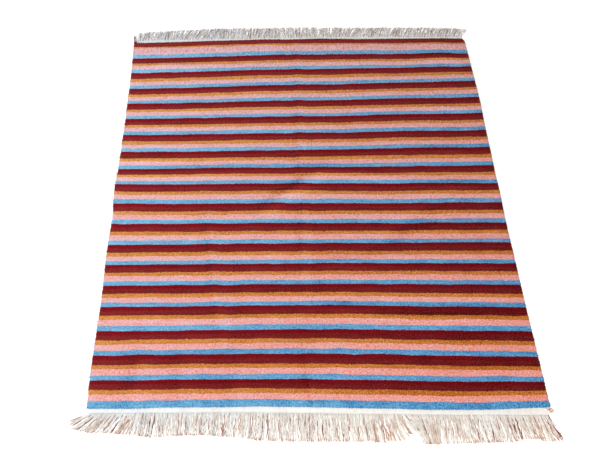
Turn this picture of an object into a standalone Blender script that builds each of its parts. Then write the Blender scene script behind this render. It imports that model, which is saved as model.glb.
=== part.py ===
"""Striped hand-knotted wool rug with flat-woven ends and a fringe of its own cotton warps.

Metres, +Z up. The rug lies flat with its underside at z = 0. Its stripes run along X and its warps
along Y, with the near end at -Y. The origin is on the underside, in the middle of the pile field.
"Across" below is a distance along X, and "along" is a distance along Y.
"""

import math
from collections import namedtuple

import bmesh
import bpy
import numpy as np

# ---- Pile field: a hand-woven rectangle whose right side came out a little longer ----------

Place = namedtuple("Place", "across along")
NEAR_LEFT = Place(-0.742, -0.763)
NEAR_RIGHT = Place(0.758, -0.815)
FAR_LEFT = Place(-0.759, 0.780)
FAR_RIGHT = Place(0.749, 0.799)
OUTWARD = {"near": -1.0, "far": 1.0}  # which way along Y leads out of the rug at each end
NEAR_BOW = 0.002  # how far the middle of the near edge lies inside the line of its corners
FAR_BOW = 0.008  # how far the middle of the far edge bulges past the line of its corners
SIDE_WOBBLE = 0.0012  # how far the sides waver
SIDE_WAVES = 5.0  # how many times they do it
SIDE_DRIFT = 3.0  # radians by which the right side's wavering drifts away from the left's
FAR_RIGHT_RADIUS = 0.014  # the worn corner
OTHER_CORNER_RADIUS = 0.005

PILE_HEIGHT = 0.009  # foundation and pile together
SHOULDER_RADIUS = 0.004  # the rounded rim of the pile
SHOULDER_STEPS = (0.0, 0.3, 1.0)  # shares of the radius at which the rim has a line of points

# Slow unevenness of the pile's surface: heading from +X, length, height and phase of each wave
Wave = namedtuple("Wave", "heading length height phase")
WAVES = (
    Wave(22.0, 0.39, 0.0005, 0.0),
    Wave(126.0, 0.49, 0.0005, 1.3),
)

# Soft ridges left by old folds: middle, heading from +X, length, width and height of each
Ridge = namedtuple("Ridge", "across along heading length width height")
RIDGES = (
    Ridge(-0.055, 0.030, 35.0, 0.34, 0.075, 0.0024),
    Ridge(0.110, -0.380, 96.0, 0.46, 0.110, 0.0026),
    Ridge(-0.012, -0.700, 92.0, 0.24, 0.080, 0.0014),
    Ridge(-0.330, -0.700, 88.0, 0.20, 0.090, 0.0016),
    Ridge(-0.560, -0.690, 86.0, 0.22, 0.090, 0.0016),
    Ridge(0.640, -0.720, 60.0, 0.22, 0.120, 0.0020),
)

COLUMNS = 32  # spans between lines of points across the pile
ROWS = 34  # spans between lines of points along the pile

# ---- Flat-woven ends, which carry on the foundation past the pile --------------------------

BAND_HEIGHT = 0.0026
BAND_LENGTH = 0.019
# How far each end of a band lies inside the pile's corner
BAND_INSETS = {"near": (0.002, 0.010), "far": (0.010, 0.014)}

# ---- Fringe: a narrow twined edging that holds the locks of warp ---------------------------

PARTING = 0.0003  # gap between the cloth and the edging
EDGING_WIDTH = 0.0055
EDGING_HEIGHT = 0.0030
LOCKS = 120  # at each end
LOCK_FILL = 0.72  # share of the room between two neighbours that a lock takes
WIDEST_LOCK = 0.0085
LOCK_CREST = 0.5  # width of a lock's top over its base
TIP_WIDTH = 0.62  # width of a lock's tip over its root
TIP_HEIGHT = 0.0020
LEAN_GROWTH = 1.3  # power by which a lock's lean grows from root to tip
SWAY = 0.0006  # how far a lock bends to and fro on its way
SWAY_TURN = 5.0  # radians
REACH_CHANGE = 0.06  # share by which the locks' reach differs
EDGING_CELLS = 2 * LOCKS + 1  # a gap first, then a lock's root and a gap in turn
Lock = namedtuple("Lock", "root lean run phase")

# A lock's root, the sideways shift of its tip, and how far it lies out from the edging
Lay = namedtuple("Lay", "across lean reach")
NEAR_LAY = (
    Lay(-0.745, -0.062, 0.042),
    Lay(-0.700, -0.052, 0.046),
    Lay(-0.640, -0.044, 0.050),
    Lay(-0.600, -0.024, 0.053),
    Lay(-0.565, -0.004, 0.055),
    Lay(-0.480, 0.002, 0.058),
    Lay(-0.380, 0.000, 0.063),
    Lay(-0.300, -0.006, 0.067),
    Lay(-0.190, -0.002, 0.076),
    Lay(0.000, 0.002, 0.076),
    Lay(0.100, 0.004, 0.074),
    Lay(0.180, 0.012, 0.074),
    Lay(0.215, 0.028, 0.071),
    Lay(0.258, 0.032, 0.064),
    Lay(0.262, 0.060, 0.074),
    Lay(0.300, 0.038, 0.076),
    Lay(0.350, 0.014, 0.076),
    Lay(0.410, 0.004, 0.073),
    Lay(0.500, 0.008, 0.072),
    Lay(0.600, 0.012, 0.070),
    Lay(0.680, 0.020, 0.071),
    Lay(0.725, 0.028, 0.071),
    Lay(0.750, 0.036, 0.062),
)
FAR_LAY = (
    Lay(-0.750, 0.002, 0.040),
    Lay(-0.660, 0.010, 0.044),
    Lay(-0.600, 0.006, 0.045),
    Lay(-0.520, 0.024, 0.045),
    Lay(-0.420, 0.020, 0.045),
    Lay(-0.370, 0.004, 0.046),
    Lay(-0.200, 0.010, 0.048),
    Lay(-0.100, 0.000, 0.048),
    Lay(0.100, 0.000, 0.047),
    Lay(0.220, 0.026, 0.047),
    Lay(0.420, 0.022, 0.048),
    Lay(0.650, 0.030, 0.048),
    Lay(0.700, 0.024, 0.045),
    Lay(0.735, 0.030, 0.042),
)
NEAR_SPANS = 4  # straight stretches in each near lock
FAR_SPANS = 3
NEAR_SEED = 11
FAR_SEED = 23

# ---- Colours (linear) ----------------------------------------------------------------------

WOOL_RED = (0.175, 0.012, 0.013, 1.0)
COTTON_CREAM = (0.85, 0.78, 0.68, 1.0)
WOOL_ROUGHNESS = 0.95
COTTON_ROUGHNESS = 0.9


def between(start, end, share):
    """The value that lies the given share of the way from start to end."""
    return start + (end - start) * share


def end_along(end, share):
    """Where the pile's near or far edge lies along Y, at a share of the way from left to right."""
    bulge = math.sin(math.pi * share)
    if end == "near":
        return between(NEAR_LEFT.along, NEAR_RIGHT.along, share) + NEAR_BOW * bulge
    return between(FAR_LEFT.along, FAR_RIGHT.along, share) + FAR_BOW * bulge


def side_across(side, share):
    """Where the pile's left or right side lies along X, at a share of the way from near to far."""
    wobble = SIDE_WOBBLE * math.sin(2.0 * math.pi * SIDE_WAVES * share)
    if side == "left":
        return between(NEAR_LEFT.across, FAR_LEFT.across, share) + wobble
    return between(NEAR_RIGHT.across, FAR_RIGHT.across, share) + wobble * math.cos(SIDE_DRIFT * share)


def corner_cut(distance, radius):
    """How far a round corner or rim pulls a side or the top in, at a distance from its end."""
    if distance >= radius:
        return 0.0
    return radius - math.sqrt(radius**2 - (radius - distance) ** 2)


def relief(across, along):
    """Height of the pile's surface over its plain level: slow waves and the soft ridges."""
    height = 0.0
    for wave in WAVES:
        heading = math.radians(wave.heading)
        travelled = across * math.cos(heading) + along * math.sin(heading)
        height += wave.height * math.sin(2.0 * math.pi * travelled / wave.length + wave.phase)
    for ridge in RIDGES:
        heading = math.radians(ridge.heading)
        right, forward = across - ridge.across, along - ridge.along
        down_length = right * math.cos(heading) + forward * math.sin(heading)
        off_middle = forward * math.cos(heading) - right * math.sin(heading)
        fade = (2.0 * down_length / ridge.length) ** 2 + (2.0 * off_middle / ridge.width) ** 2
        height += ridge.height * math.exp(-fade)
    return height


def stations(size, spans):
    """Distances from one edge to the other: the rim's lines at both, and even spans between."""
    rim = [step * SHOULDER_RADIUS for step in SHOULDER_STEPS]
    inner = np.linspace(rim[-1], size - rim[-1], spans + 1)
    return rim[:-1] + list(inner) + [size - distance for distance in reversed(rim[:-1])]


def make_material(name, colour, roughness):
    """A plain Principled material."""
    material = bpy.data.materials.new(name)
    material.use_nodes = True
    shader = material.node_tree.nodes["Principled BSDF"]
    shader.inputs["Base Color"].default_value = colour
    shader.inputs["Roughness"].default_value = roughness
    shader.inputs["Metallic"].default_value = 0.0
    return material


def add_object(name, mesh_data, material, collection):
    """Turns a bmesh into an object of the rug's collection."""
    mesh = bpy.data.meshes.new(name)
    bmesh.ops.recalc_face_normals(mesh_data, faces=mesh_data.faces)
    mesh_data.to_mesh(mesh)
    mesh_data.free()
    mesh.materials.append(material)
    placed = bpy.data.objects.new(name, mesh)
    collection.objects.link(placed)
    return placed


def in_rows(flat_grid):
    """A flat grid's points, row by row from near to far, and from left to right in each."""
    return sorted(flat_grid.verts, key=lambda vert: (round(vert.co.y, 5), round(vert.co.x, 5)))


def pile_point(across_share, from_left, from_right, from_near, from_far):
    """A point of the pile's top, from its distances to the four edges."""
    along_share = from_near / (from_near + from_far)
    along = between(end_along("near", across_share), end_along("far", across_share), along_share)
    far_radius = between(OTHER_CORNER_RADIUS, FAR_RIGHT_RADIUS, across_share)
    left = side_across("left", along_share)
    left += corner_cut(from_near, OTHER_CORNER_RADIUS) + corner_cut(from_far, OTHER_CORNER_RADIUS)
    right = side_across("right", along_share)
    right -= corner_cut(from_near, OTHER_CORNER_RADIUS) + corner_cut(from_far, far_radius)
    across = between(left, right, across_share)
    drop = corner_cut(min(from_left, from_right, from_near, from_far), SHOULDER_RADIUS)
    return across, along, PILE_HEIGHT + relief(across, along) - drop


def band_point(end, across_share, beyond):
    """A point of a flat-woven end's top, at a distance beyond the pile's edge."""
    along_share = 0.0 if end == "near" else 1.0
    left_inset, right_inset = BAND_INSETS[end]
    left = side_across("left", along_share) + left_inset
    right = side_across("right", along_share) - right_inset
    along = end_along(end, across_share) + OUTWARD[end] * beyond
    return between(left, right, across_share), along, BAND_HEIGHT


def make_cloth(material, collection):
    """The cloth: pile field and both flat-woven ends in one piece, flat underneath."""
    width = NEAR_RIGHT.across - NEAR_LEFT.across
    length = FAR_LEFT.along - NEAR_LEFT.along
    columns = stations(width, COLUMNS)
    pile_rows = stations(length, ROWS)
    rows = [("near", BAND_LENGTH), ("near", 0.0)]
    rows += [("pile", distance) for distance in pile_rows]
    rows += [("far", 0.0), ("far", BAND_LENGTH)]

    cloth = bmesh.new()
    bmesh.ops.create_grid(cloth, x_segments=len(columns) - 1, y_segments=len(rows) - 1, size=0.5)
    for index, vert in enumerate(in_rows(cloth)):
        from_left = columns[index % len(columns)]
        place, distance = rows[index // len(columns)]
        share = from_left / width
        if place == "pile":
            vert.co = pile_point(share, from_left, width - from_left, distance, length - distance)
        else:
            vert.co = band_point(place, share, distance)

    rim = [edge for edge in cloth.edges if edge.is_boundary]
    walls = bmesh.ops.extrude_edge_only(cloth, edges=rim)["geom"]
    for vert in (item for item in walls if isinstance(item, bmesh.types.BMVert)):
        vert.co.z = 0.0
    under = [item for item in walls if isinstance(item, bmesh.types.BMEdge) and item.is_boundary]
    bmesh.ops.contextual_create(cloth, geom=under)
    return add_object("rug_cloth", cloth, material, collection)


def lay_of(table, across):
    """Lean and reach of the lock whose root is at the given place, read between table rows."""
    places = [row.across for row in table]
    lean = np.interp(across, places, [row.lean for row in table])
    reach = np.interp(across, places, [row.reach for row in table])
    return float(lean), float(reach)


def edging_point(end, across_share, beyond):
    """A place on the edging, at a distance beyond the cloth's end."""
    across, along, _ = band_point(end, across_share, BAND_LENGTH)
    return Place(across, along + OUTWARD[end] * beyond)


def plan_locks(end, table, seed):
    """The locks of one end, from left to right."""
    draws = np.random.default_rng(seed)
    locks = []
    for number in range(LOCKS):
        root_share = (2 * number + 1.5) / EDGING_CELLS
        root = edging_point(end, root_share, PARTING + EDGING_WIDTH)
        lean, reach = lay_of(table, root.across)
        reach *= 1.0 + REACH_CHANGE * draws.uniform(-1.0, 1.0)
        locks.append(Lock(root, lean, OUTWARD[end] * reach, draws.uniform(0.0, 2.0 * math.pi)))
    return locks


def lock_centre(lock, share):
    """Middle of a lock at a share of its length: it leaves straight, then leans and sways."""
    lean = lock.lean * share**LEAN_GROWTH
    sway = SWAY * share * math.sin(lock.phase + SWAY_TURN * share)
    return Place(lock.root.across + lean + sway, lock.root.along + lock.run * share)


def lock_width(locks, number, share):
    """Width of a lock at a share of its length: a part of the room to its nearer neighbour."""
    here = lock_centre(locks[number], share)
    neighbours = locks[max(number - 1, 0) : number] + locks[number + 1 : number + 2]
    room = min(abs(lock_centre(lock, share).across - here.across) for lock in neighbours)
    slant = abs(locks[number].run) / math.hypot(locks[number].lean, locks[number].run)
    return min(LOCK_FILL * room * slant, WIDEST_LOCK * between(1.0, TIP_WIDTH, share))


def put_section(face, before, centre, width, height):
    """Moves a lock's end face to a section square to its run, flat below, narrower on top."""
    run_across, run_along = centre.across - before.across, centre.along - before.along
    run = math.hypot(run_across, run_along)
    right = Place(abs(run_along) / run, -run_across * math.copysign(1.0, run_along) / run)
    middle = face.calc_center_median()
    for vert in face.verts:
        is_top = vert.co.z > middle.z
        half = 0.5 * width * (LOCK_CREST if is_top else 1.0)
        half = math.copysign(half, vert.co.x - middle.x)
        vert.co.x = centre.across + half * right.across
        vert.co.y = centre.along + half * right.along
        vert.co.z = height if is_top else 0.0


def draw_lock(comb, face, locks, number, spans):
    """Draws a lock out of the edging's wall, one extrusion for each straight stretch."""
    lock = locks[number]
    for span in range(1, spans + 1):
        share = span / spans
        face = bmesh.ops.extrude_discrete_faces(comb, faces=[face])["faces"][0]
        before = lock_centre(lock, (span - 1) / spans)
        width = lock_width(locks, number, share)
        height = between(EDGING_HEIGHT, TIP_HEIGHT, share)
        put_section(face, before, lock_centre(lock, share), width, height)


def wall_at(comb, root):
    """The face of the edging's outer wall from which the lock with this root grows."""

    def distance(face):
        middle = face.calc_center_median()
        return math.hypot(middle.x - root.across, middle.y - root.along)

    upright = [face for face in comb.faces if abs(face.normal.z) < 0.5]
    return min(upright, key=distance)


def make_edging(end):
    """The twined edging as a thin bar, cut across where each lock begins and ends."""
    edging = bmesh.new()
    bmesh.ops.create_grid(edging, x_segments=EDGING_CELLS, y_segments=1, size=0.5)
    for index, vert in enumerate(in_rows(edging)):
        share = (index % (EDGING_CELLS + 1)) / EDGING_CELLS
        is_far_line = index > EDGING_CELLS
        is_outer = is_far_line == (end == "far")
        place = edging_point(end, share, PARTING + (EDGING_WIDTH if is_outer else 0.0))
        vert.co = (place.across, place.along, 0.0)
    lifted = bmesh.ops.extrude_face_region(edging, geom=edging.faces[:])["geom"]
    for vert in (item for item in lifted if isinstance(item, bmesh.types.BMVert)):
        vert.co.z = EDGING_HEIGHT
    edging.normal_update()
    return edging


def make_fringe(name, end, table, spans, seed, material, collection):
    """A fringe: the twined edging, and the locks that grow out of its outer wall."""
    comb = make_edging(end)
    locks = plan_locks(end, table, seed)
    walls = [wall_at(comb, lock.root) for lock in locks]
    for number, wall in enumerate(walls):
        draw_lock(comb, wall, locks, number, spans)
    return add_object(name, comb, material, collection)


def main():
    """Builds the rug: one cloth and two fringes."""
    for old in list(bpy.data.objects):
        bpy.data.objects.remove(old, do_unlink=True)
    collection = bpy.data.collections.new("striped_rug")
    bpy.context.scene.collection.children.link(collection)
    wool = make_material("wool_pile", WOOL_RED, WOOL_ROUGHNESS)
    near_cotton = make_material("near_cotton", COTTON_CREAM, COTTON_ROUGHNESS)
    far_cotton = make_material("far_cotton", COTTON_CREAM, COTTON_ROUGHNESS)
    make_cloth(wool, collection)
    make_fringe("fringe_near", "near", NEAR_LAY, NEAR_SPANS, NEAR_SEED, near_cotton, collection)
    make_fringe("fringe_far", "far", FAR_LAY, FAR_SPANS, FAR_SEED, far_cotton, collection)


main()
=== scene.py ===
"""Looks of a striped hand-knotted wool rug with flat-woven ends and a fringe of its cotton warps.

Metres, +Z up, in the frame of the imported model: the rug lies flat with its underside at z = 0, its
stripes along X, its warps along Y and its near end at -Y. "Across" is a distance along X, and
"along" a distance along Y. A share runs from 0 to 1 over a width or a length.
"""

from __future__ import annotations

import logging
import math
from dataclasses import dataclass
from enum import Enum
from typing import NamedTuple

import bpy
import numpy as np
from mathutils import Matrix, Vector


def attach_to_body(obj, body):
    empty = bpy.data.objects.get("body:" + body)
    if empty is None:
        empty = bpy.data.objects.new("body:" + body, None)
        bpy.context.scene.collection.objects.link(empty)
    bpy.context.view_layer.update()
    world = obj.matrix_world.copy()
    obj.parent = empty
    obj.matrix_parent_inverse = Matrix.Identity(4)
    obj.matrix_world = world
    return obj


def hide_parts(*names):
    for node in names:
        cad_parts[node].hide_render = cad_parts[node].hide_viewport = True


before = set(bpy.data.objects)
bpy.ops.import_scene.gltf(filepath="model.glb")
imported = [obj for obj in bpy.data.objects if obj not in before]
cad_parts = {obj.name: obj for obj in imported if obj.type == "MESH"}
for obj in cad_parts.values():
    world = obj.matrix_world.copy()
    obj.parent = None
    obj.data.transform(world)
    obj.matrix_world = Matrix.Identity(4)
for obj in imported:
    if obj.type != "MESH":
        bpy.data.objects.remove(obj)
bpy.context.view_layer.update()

LOG = logging.getLogger("striped_rug")
MM = 0.001
SMALL = 1e-6  # a length that is as good as none
BODY = "root"
Array = np.ndarray


# ---- Sums that several pieces share ---------------------------------------------------------


def table(kind: type, *rows: tuple[float, ...]) -> tuple:
    """A table's rows, each as a named tuple of the kind."""
    return tuple(kind(*row) for row in rows)


def between(start: Array | float, end: Array | float, share: Array | float) -> Array | float:
    """The value that lies the given share of the way from start to end."""
    return start + (end - start) * share


def eased(share: Array) -> Array:
    """A share that sets off and arrives gently: 3 t² - 2 t³, held to 0 and 1 outside."""
    held = np.clip(share, 0.0, 1.0)
    return held * held * (3.0 - 2.0 * held)


def corner_cut(distance: Array, radius: Array | float) -> Array:
    """How far a round corner or rim pulls a surface in, at a distance from its end.

    The quarter circle: radius - sqrt(radius² - (radius - distance)²), and nothing past the radius.

    Args:
        distance: Distances from the corner's end.
        radius: The corner's radius.

    Returns:
        The pull at each distance.
    """
    inside = np.clip(radius - distance, 0.0, radius)
    return radius - np.sqrt(np.maximum(radius**2 - inside**2, 0.0))


def unevenness(across: Array, along: Array, cell: float, seed: int) -> Array:
    """Smooth unevenness of a hand-made surface, from -1 to 1.

    Random values stand on a square lattice, and between its corners they are eased with
    3 t² - 2 t³ in both directions.

    Args:
        across: Places along X.
        along: Places along Y.
        cell: The lattice's spacing.
        seed: Seed of the lattice's draws.

    Returns:
        The unevenness at each place.
    """
    reach = 1.2  # past the rug on every side
    count = int(2.0 * reach / cell) + 3
    lattice = np.random.default_rng(seed).uniform(-1.0, 1.0, (count, count))
    column = (np.asarray(across) + reach) / cell
    row = (np.asarray(along) + reach) / cell
    left = np.clip(column.astype(int), 0, count - 2)
    low = np.clip(row.astype(int), 0, count - 2)
    right_share = eased(column - left)
    far_share = eased(row - low)
    near_line = between(lattice[low, left], lattice[low, left + 1], right_share)
    far_line = between(lattice[low + 1, left], lattice[low + 1, left + 1], right_share)
    return between(near_line, far_line, far_share)


def smooth_route(points: Array, count: int) -> Array:
    """A Catmull-Rom curve through a few points, read at even steps of its parameter.

    Args:
        points: The route's own points, one row each.
        count: How many points to read.

    Returns:
        The points that were read.
    """
    padded = np.vstack([2.0 * points[0] - points[1], points, 2.0 * points[-1] - points[-2]])
    place = np.linspace(0.0, len(points) - 1.0, count)
    span = np.minimum(place.astype(int), len(points) - 2)
    t = (place - span)[:, None]
    a, b, c, d = (padded[span + step] for step in range(4))
    bend = (2.0 * a - 5.0 * b + 4.0 * c - d) * t**2 + (3.0 * b - 3.0 * c + d - a) * t**3
    return 0.5 * (2.0 * b + (c - a) * t + bend)


# ---- Meshes ---------------------------------------------------------------------------------


def stacked(*parts: Array | float) -> Array:
    """Values side by side in a new last axis, such as X, Y and Z. A single value fills its part."""
    return np.stack(np.broadcast_arrays(*parts), axis=-1)


def grid_quads(index: Array) -> Array:
    """The faces of a grid of points, from the points' numbers in rows and columns."""
    return stacked(index[:-1, :-1], index[:-1, 1:], index[1:, 1:], index[1:, :-1]).reshape(-1, 4)


def grid_rim(index: Array) -> Array:
    """The numbers of the points round a grid's rim, in order."""
    return np.concatenate([index[0, :-1], index[:-1, -1], index[-1, :0:-1], index[:0:-1, 0]])


def face_corners(faces: list[list[int]]) -> Array:
    """The point's number at every corner of every face, in order."""
    return np.fromiter((corner for face in faces for corner in face), dtype=int)


def placed(name: str, data: bpy.types.ID) -> bpy.types.Object:
    """Puts a new object with the given mesh, light or camera into the scene, at the origin.

    Args:
        name: The object's name.
        data: What it shows.

    Returns:
        The object.
    """
    made = bpy.data.objects.new(name, data)
    bpy.context.scene.collection.objects.link(made)
    return made


@dataclass
class Shell:
    """A closed mesh as arrays: its points, its faces, and a UV pair for each face's corner.

    Faces of five corners or more, such as a yarn's cut end, are flat, and the others are smooth.
    """

    points: Array
    faces: list[list[int]]
    corner_uv: Array
    tones: dict[str, Array]

    def make(self, name: str, uv_name: str, material: bpy.types.Material) -> bpy.types.Object:
        """Puts the arrays into a mesh and the mesh into the scene.

        Args:
            name: The piece's name.
            uv_name: The UV map's name.
            material: The piece's material.

        Returns:
            The new object, at the origin.
        """
        mesh = bpy.data.meshes.new(name)
        mesh.from_pydata(self.points.tolist(), [], self.faces)
        layer = mesh.uv_layers.new(name=uv_name)
        layer.data.foreach_set("uv", self.corner_uv.astype(np.float32).ravel())
        for tone, values in self.tones.items():
            attribute = mesh.attributes.new(tone, "FLOAT", "POINT")
            attribute.data.foreach_set("value", values.astype(np.float32).ravel())
        mesh.polygons.foreach_set("use_smooth", np.array([len(face) < 5 for face in self.faces]))
        mesh.materials.append(material)
        mesh.update()
        return placed(name, mesh)

    def toned(self, **tones: Array) -> Shell:
        """The same mesh with values at its points, by name."""
        return Shell(self.points, self.faces, self.corner_uv, tones)


def skirted(top: Array, uv: Array, foot: float, tuck: float = 0.0) -> Shell:
    """A closed slab under a grid of points: the grid, upright walls round it, and a flat underside.

    The underside is a strip of faces from the near wall to the far one for each column, and one
    wide face at each side, so that a fine top doesn't need an equally fine underside.

    Args:
        top: The grid, rows from near to far and columns from left to right, 3 numbers each.
        uv: A UV pair for each of the grid's points.
        foot: Height of the underside.
        tuck: How far the walls draw in at their foot.

    Returns:
        The slab.
    """
    rows, columns = top.shape[:2]
    side_columns = 8  # how many columns each side's wide face takes in
    index = np.arange(rows * columns).reshape(rows, columns)
    rim = grid_rim(index)
    top_points = top.reshape(-1, 3)
    middle = top_points.mean(axis=0)
    foot_points = top_points[rim].copy()
    inward = np.sign(middle - foot_points)
    foot_points[:, :2] += tuck * inward[:, :2]
    foot_points[:, 2] = foot
    below = np.arange(len(rim)) + rows * columns
    walls = stacked(rim, below, np.roll(below, -1), np.roll(rim, -1))
    far_right = columns + rows - 2
    near, right = below[:columns], below[columns - 1 : far_right + 1]
    far = below[far_right : far_right + columns][::-1]
    left = np.append(below[far_right + columns - 1 :], below[0])[::-1]
    inner_near, inner_far = near[side_columns:-side_columns], far[side_columns:-side_columns]
    strips = stacked(inner_near[:-1], inner_far[:-1], inner_far[1:], inner_near[1:])
    left_cap = np.concatenate([left, far[1 : side_columns + 1], near[side_columns:0:-1]])
    right_cap = np.concatenate([far[-side_columns - 1 :], right[-2::-1], near[-2 : -side_columns - 2 : -1]])
    faces = np.concatenate([grid_quads(index), walls, strips]).tolist()
    faces += [left_cap.tolist(), right_cap.tolist()]
    point_uv = np.concatenate([uv.reshape(-1, 2), uv.reshape(-1, 2)[rim]])
    return Shell(np.concatenate([top_points, foot_points]), faces, point_uv[face_corners(faces)], {})


def swept(paths: Array, radii: Array, sides: int, flatness: float = 1.0) -> Shell:
    """Yarns swept along many paths at once.

    A ring's point is path + radius · (cos(turn) · side + flatness · sin(turn) · rise), where side
    is level and square to the run, and rise is square to both. Both ends are closed.

    Args:
        paths: Yarns, stations along each, 3 numbers each.
        radii: Yarns and stations.
        sides: Points round a ring.
        flatness: A ring's height over its width.

    Returns:
        The yarns as one mesh. A UV pair is the share of the way round, and metres along.
    """
    yarns, stations = paths.shape[:2]
    run = np.gradient(paths, axis=1)
    run /= np.maximum(np.linalg.norm(run, axis=2, keepdims=True), SMALL)
    side = stacked(run[..., 1], -run[..., 0], 0.0)
    side[..., 0] += SMALL  # so that an upright run has a side too
    side /= np.linalg.norm(side, axis=2, keepdims=True)
    rise = np.cross(side, run)
    turn = np.linspace(0.0, 2.0 * math.pi, sides, endpoint=False)
    ring = np.cos(turn)[:, None] * side[:, :, None, :]
    ring = ring + flatness * np.sin(turn)[:, None] * rise[:, :, None, :]
    points = paths[:, :, None, :] + radii[:, :, None, None] * ring

    index = np.arange(yarns * stations * sides).reshape(yarns, stations, sides)
    turned = np.roll(index, -1, axis=2)
    quads = stacked(index[:, :-1], index[:, 1:], turned[:, 1:], turned[:, :-1])
    faces = quads.reshape(-1, 4).tolist() + index[:, 0].tolist() + index[:, -1, ::-1].tolist()

    steps = np.linalg.norm(np.diff(paths, axis=1), axis=2)
    metres = np.concatenate([np.zeros((yarns, 1)), np.cumsum(steps, axis=1)], axis=1)
    round_share = np.arange(sides) / sides
    u = round_share[None, None, :, None] + np.array([0.0, 0.0, 1.0, 1.0]) / sides
    v = stacked(metres[:, :-1], metres[:, 1:], metres[:, 1:], metres[:, :-1])
    start_uv = stacked(round_share, metres[:, :1])
    end_uv = stacked(round_share[::-1], metres[:, -1:])
    uvs = (stacked(u, v[:, :, None, :]), start_uv, end_uv)
    return Shell(points.reshape(-1, 3), faces, np.concatenate([uv.reshape(-1, 2) for uv in uvs]), {})


def joined(shells: list[Shell]) -> Shell:
    """Several shells as one mesh, with the tones that all of them carry.

    Args:
        shells: The shells. The first one names the tones.

    Returns:
        The one mesh.
    """
    starts = np.cumsum([0] + [len(shell.points) for shell in shells])
    faces = [
        [corner + start for corner in face]
        for shell, start in zip(shells, starts.tolist())
        for face in shell.faces
    ]
    tones = {
        tone: np.concatenate([shell.tones[tone].ravel() for shell in shells])
        for tone in shells[0].tones
    }
    points = np.concatenate([shell.points for shell in shells])
    return Shell(points, faces, np.concatenate([shell.corner_uv for shell in shells]), tones)


# ---- The rug's outline, relief and stripes, as in its solids ----------------------------------


class End(Enum):
    """An end of the rug. Its value is the way along Y that leads out of the rug there."""

    NEAR = -1.0
    FAR = 1.0


class Place(NamedTuple):
    """A point of the rug's plane."""

    across: float
    along: float


class Sway(NamedTuple):
    """Where an edge lies off its plain line: a share of its length, and the shift in millimetres."""

    share: float
    shift: float


NEAR_PILE_SWAYS = table(
    Sway,
    (0.0, 0.0), (0.10, 0.0), (0.155, 3.0), (0.30, 4.0), (0.36, 6.0), (0.43, 4.5), (0.50, 3.5),
    (0.56, 1.5), (0.66, -0.5), (0.735, -3.0), (0.80, -2.5), (0.85, -2.0), (0.90, 0.5), (0.94, 4.0),
    (1.0, 7.0),
)
FAR_PILE_SWAYS = table(
    Sway,
    (0.0, 0.0), (0.10, 0.0), (0.20, 2.5), (0.30, 4.0), (0.39, 6.0), (0.47, 3.0), (0.555, 6.0),
    (0.64, 2.0), (0.68, 1.0), (0.80, 3.0), (0.94, 5.0), (1.0, 3.0),
)
LEFT_SWAYS = table(
    Sway,
    (0.0, 0.0), (0.02, -1.0), (0.04, -4.0), (0.08, -4.0), (0.13, 0.0), (0.20, 1.0), (0.31, -1.0),
    (0.44, 2.0), (0.475, -3.0), (0.52, -3.0), (0.57, 2.0), (0.66, 1.0), (0.73, 5.0), (0.80, 3.0),
    (0.92, 3.0), (1.0, -1.0),
)
RIGHT_SWAYS = table(
    Sway,
    (0.0, 0.0), (0.02, -4.0), (0.08, -4.0), (0.15, -3.0), (0.20, -6.0), (0.26, -7.0), (0.34, -5.5),
    (0.42, -8.0), (0.50, -4.0), (0.55, -5.0), (0.62, -2.5), (0.70, -2.0), (0.76, 0.0), (0.86, 0.0),
    (0.92, -4.0), (1.0, -7.0),
)
NEAR_WEAVE_SWAYS = table(
    Sway,
    (0.0, 3.0), (0.15, 4.5), (0.36, 5.0), (0.50, 3.0), (0.60, 1.0), (0.80, 0.0), (1.0, 1.5),
)


def swayed(sways: tuple[Sway, ...], share: Array) -> Array:
    """The shift in metres at shares of an edge's length, read between the charted ones."""
    return MM * np.interp(share, [sway.share for sway in sways], [sway.shift for sway in sways])


@dataclass(frozen=True)
class Outline:
    """The pile field: a hand-woven rectangle whose right side came out a little longer."""

    near_left: Place = Place(-0.742, -0.763)
    near_right: Place = Place(0.758, -0.815)
    far_left: Place = Place(-0.759, 0.780)
    far_right: Place = Place(0.749, 0.799)
    near_bow: float = 0.002
    far_bow: float = 0.008
    side_wobble: float = 0.0012
    side_waves: float = 5.0
    side_drift: float = 3.0
    far_right_radius: float = 0.014
    far_left_radius: float = 0.004
    near_radius: float = 0.0015
    pile_height: float = 0.009
    shoulder_radius: float = 0.004
    flat_size: tuple[float, float] = (1.505, 1.584)  # of the pile, laid out flat

    def plain_line(self, end: End, share: Array) -> Array:
        """An end's even line along Y: straight from corner to corner, and half a sine wave.

        Args:
            end: The end.
            share: Shares of the way from left to right.

        Returns:
            The places along Y.
        """
        bulge = np.sin(math.pi * np.asarray(share))
        if end is End.NEAR:
            return between(self.near_left.along, self.near_right.along, share) + self.near_bow * bulge
        return between(self.far_left.along, self.far_right.along, share) + self.far_bow * bulge

    def end_line(self, end: End, share: Array) -> Array:
        """Where the pile ends along Y, with its own sways, at shares of the way from left to right."""
        sways = NEAR_PILE_SWAYS if end is End.NEAR else FAR_PILE_SWAYS
        return self.plain_line(end, share) + swayed(sways, share)

    def left_line(self, share: Array) -> Array:
        """Where the left side lies along X, at shares of the way from near to far.

        Args:
            share: The shares.

        Returns:
            The places along X.
        """
        wobble = self.side_wobble * np.sin(2.0 * math.pi * self.side_waves * share)
        plain = between(self.near_left.across, self.far_left.across, share)
        return plain + wobble + swayed(LEFT_SWAYS, share)

    def right_line(self, share: Array) -> Array:
        """Where the right side lies along X, at shares of the way from near to far.

        Args:
            share: The shares.

        Returns:
            The places along X.
        """
        wobble = self.side_wobble * np.sin(2.0 * math.pi * self.side_waves * share)
        drift = np.cos(self.side_drift * share)
        plain = between(self.near_right.across, self.far_right.across, share)
        return plain + wobble * drift + swayed(RIGHT_SWAYS, share)


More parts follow.
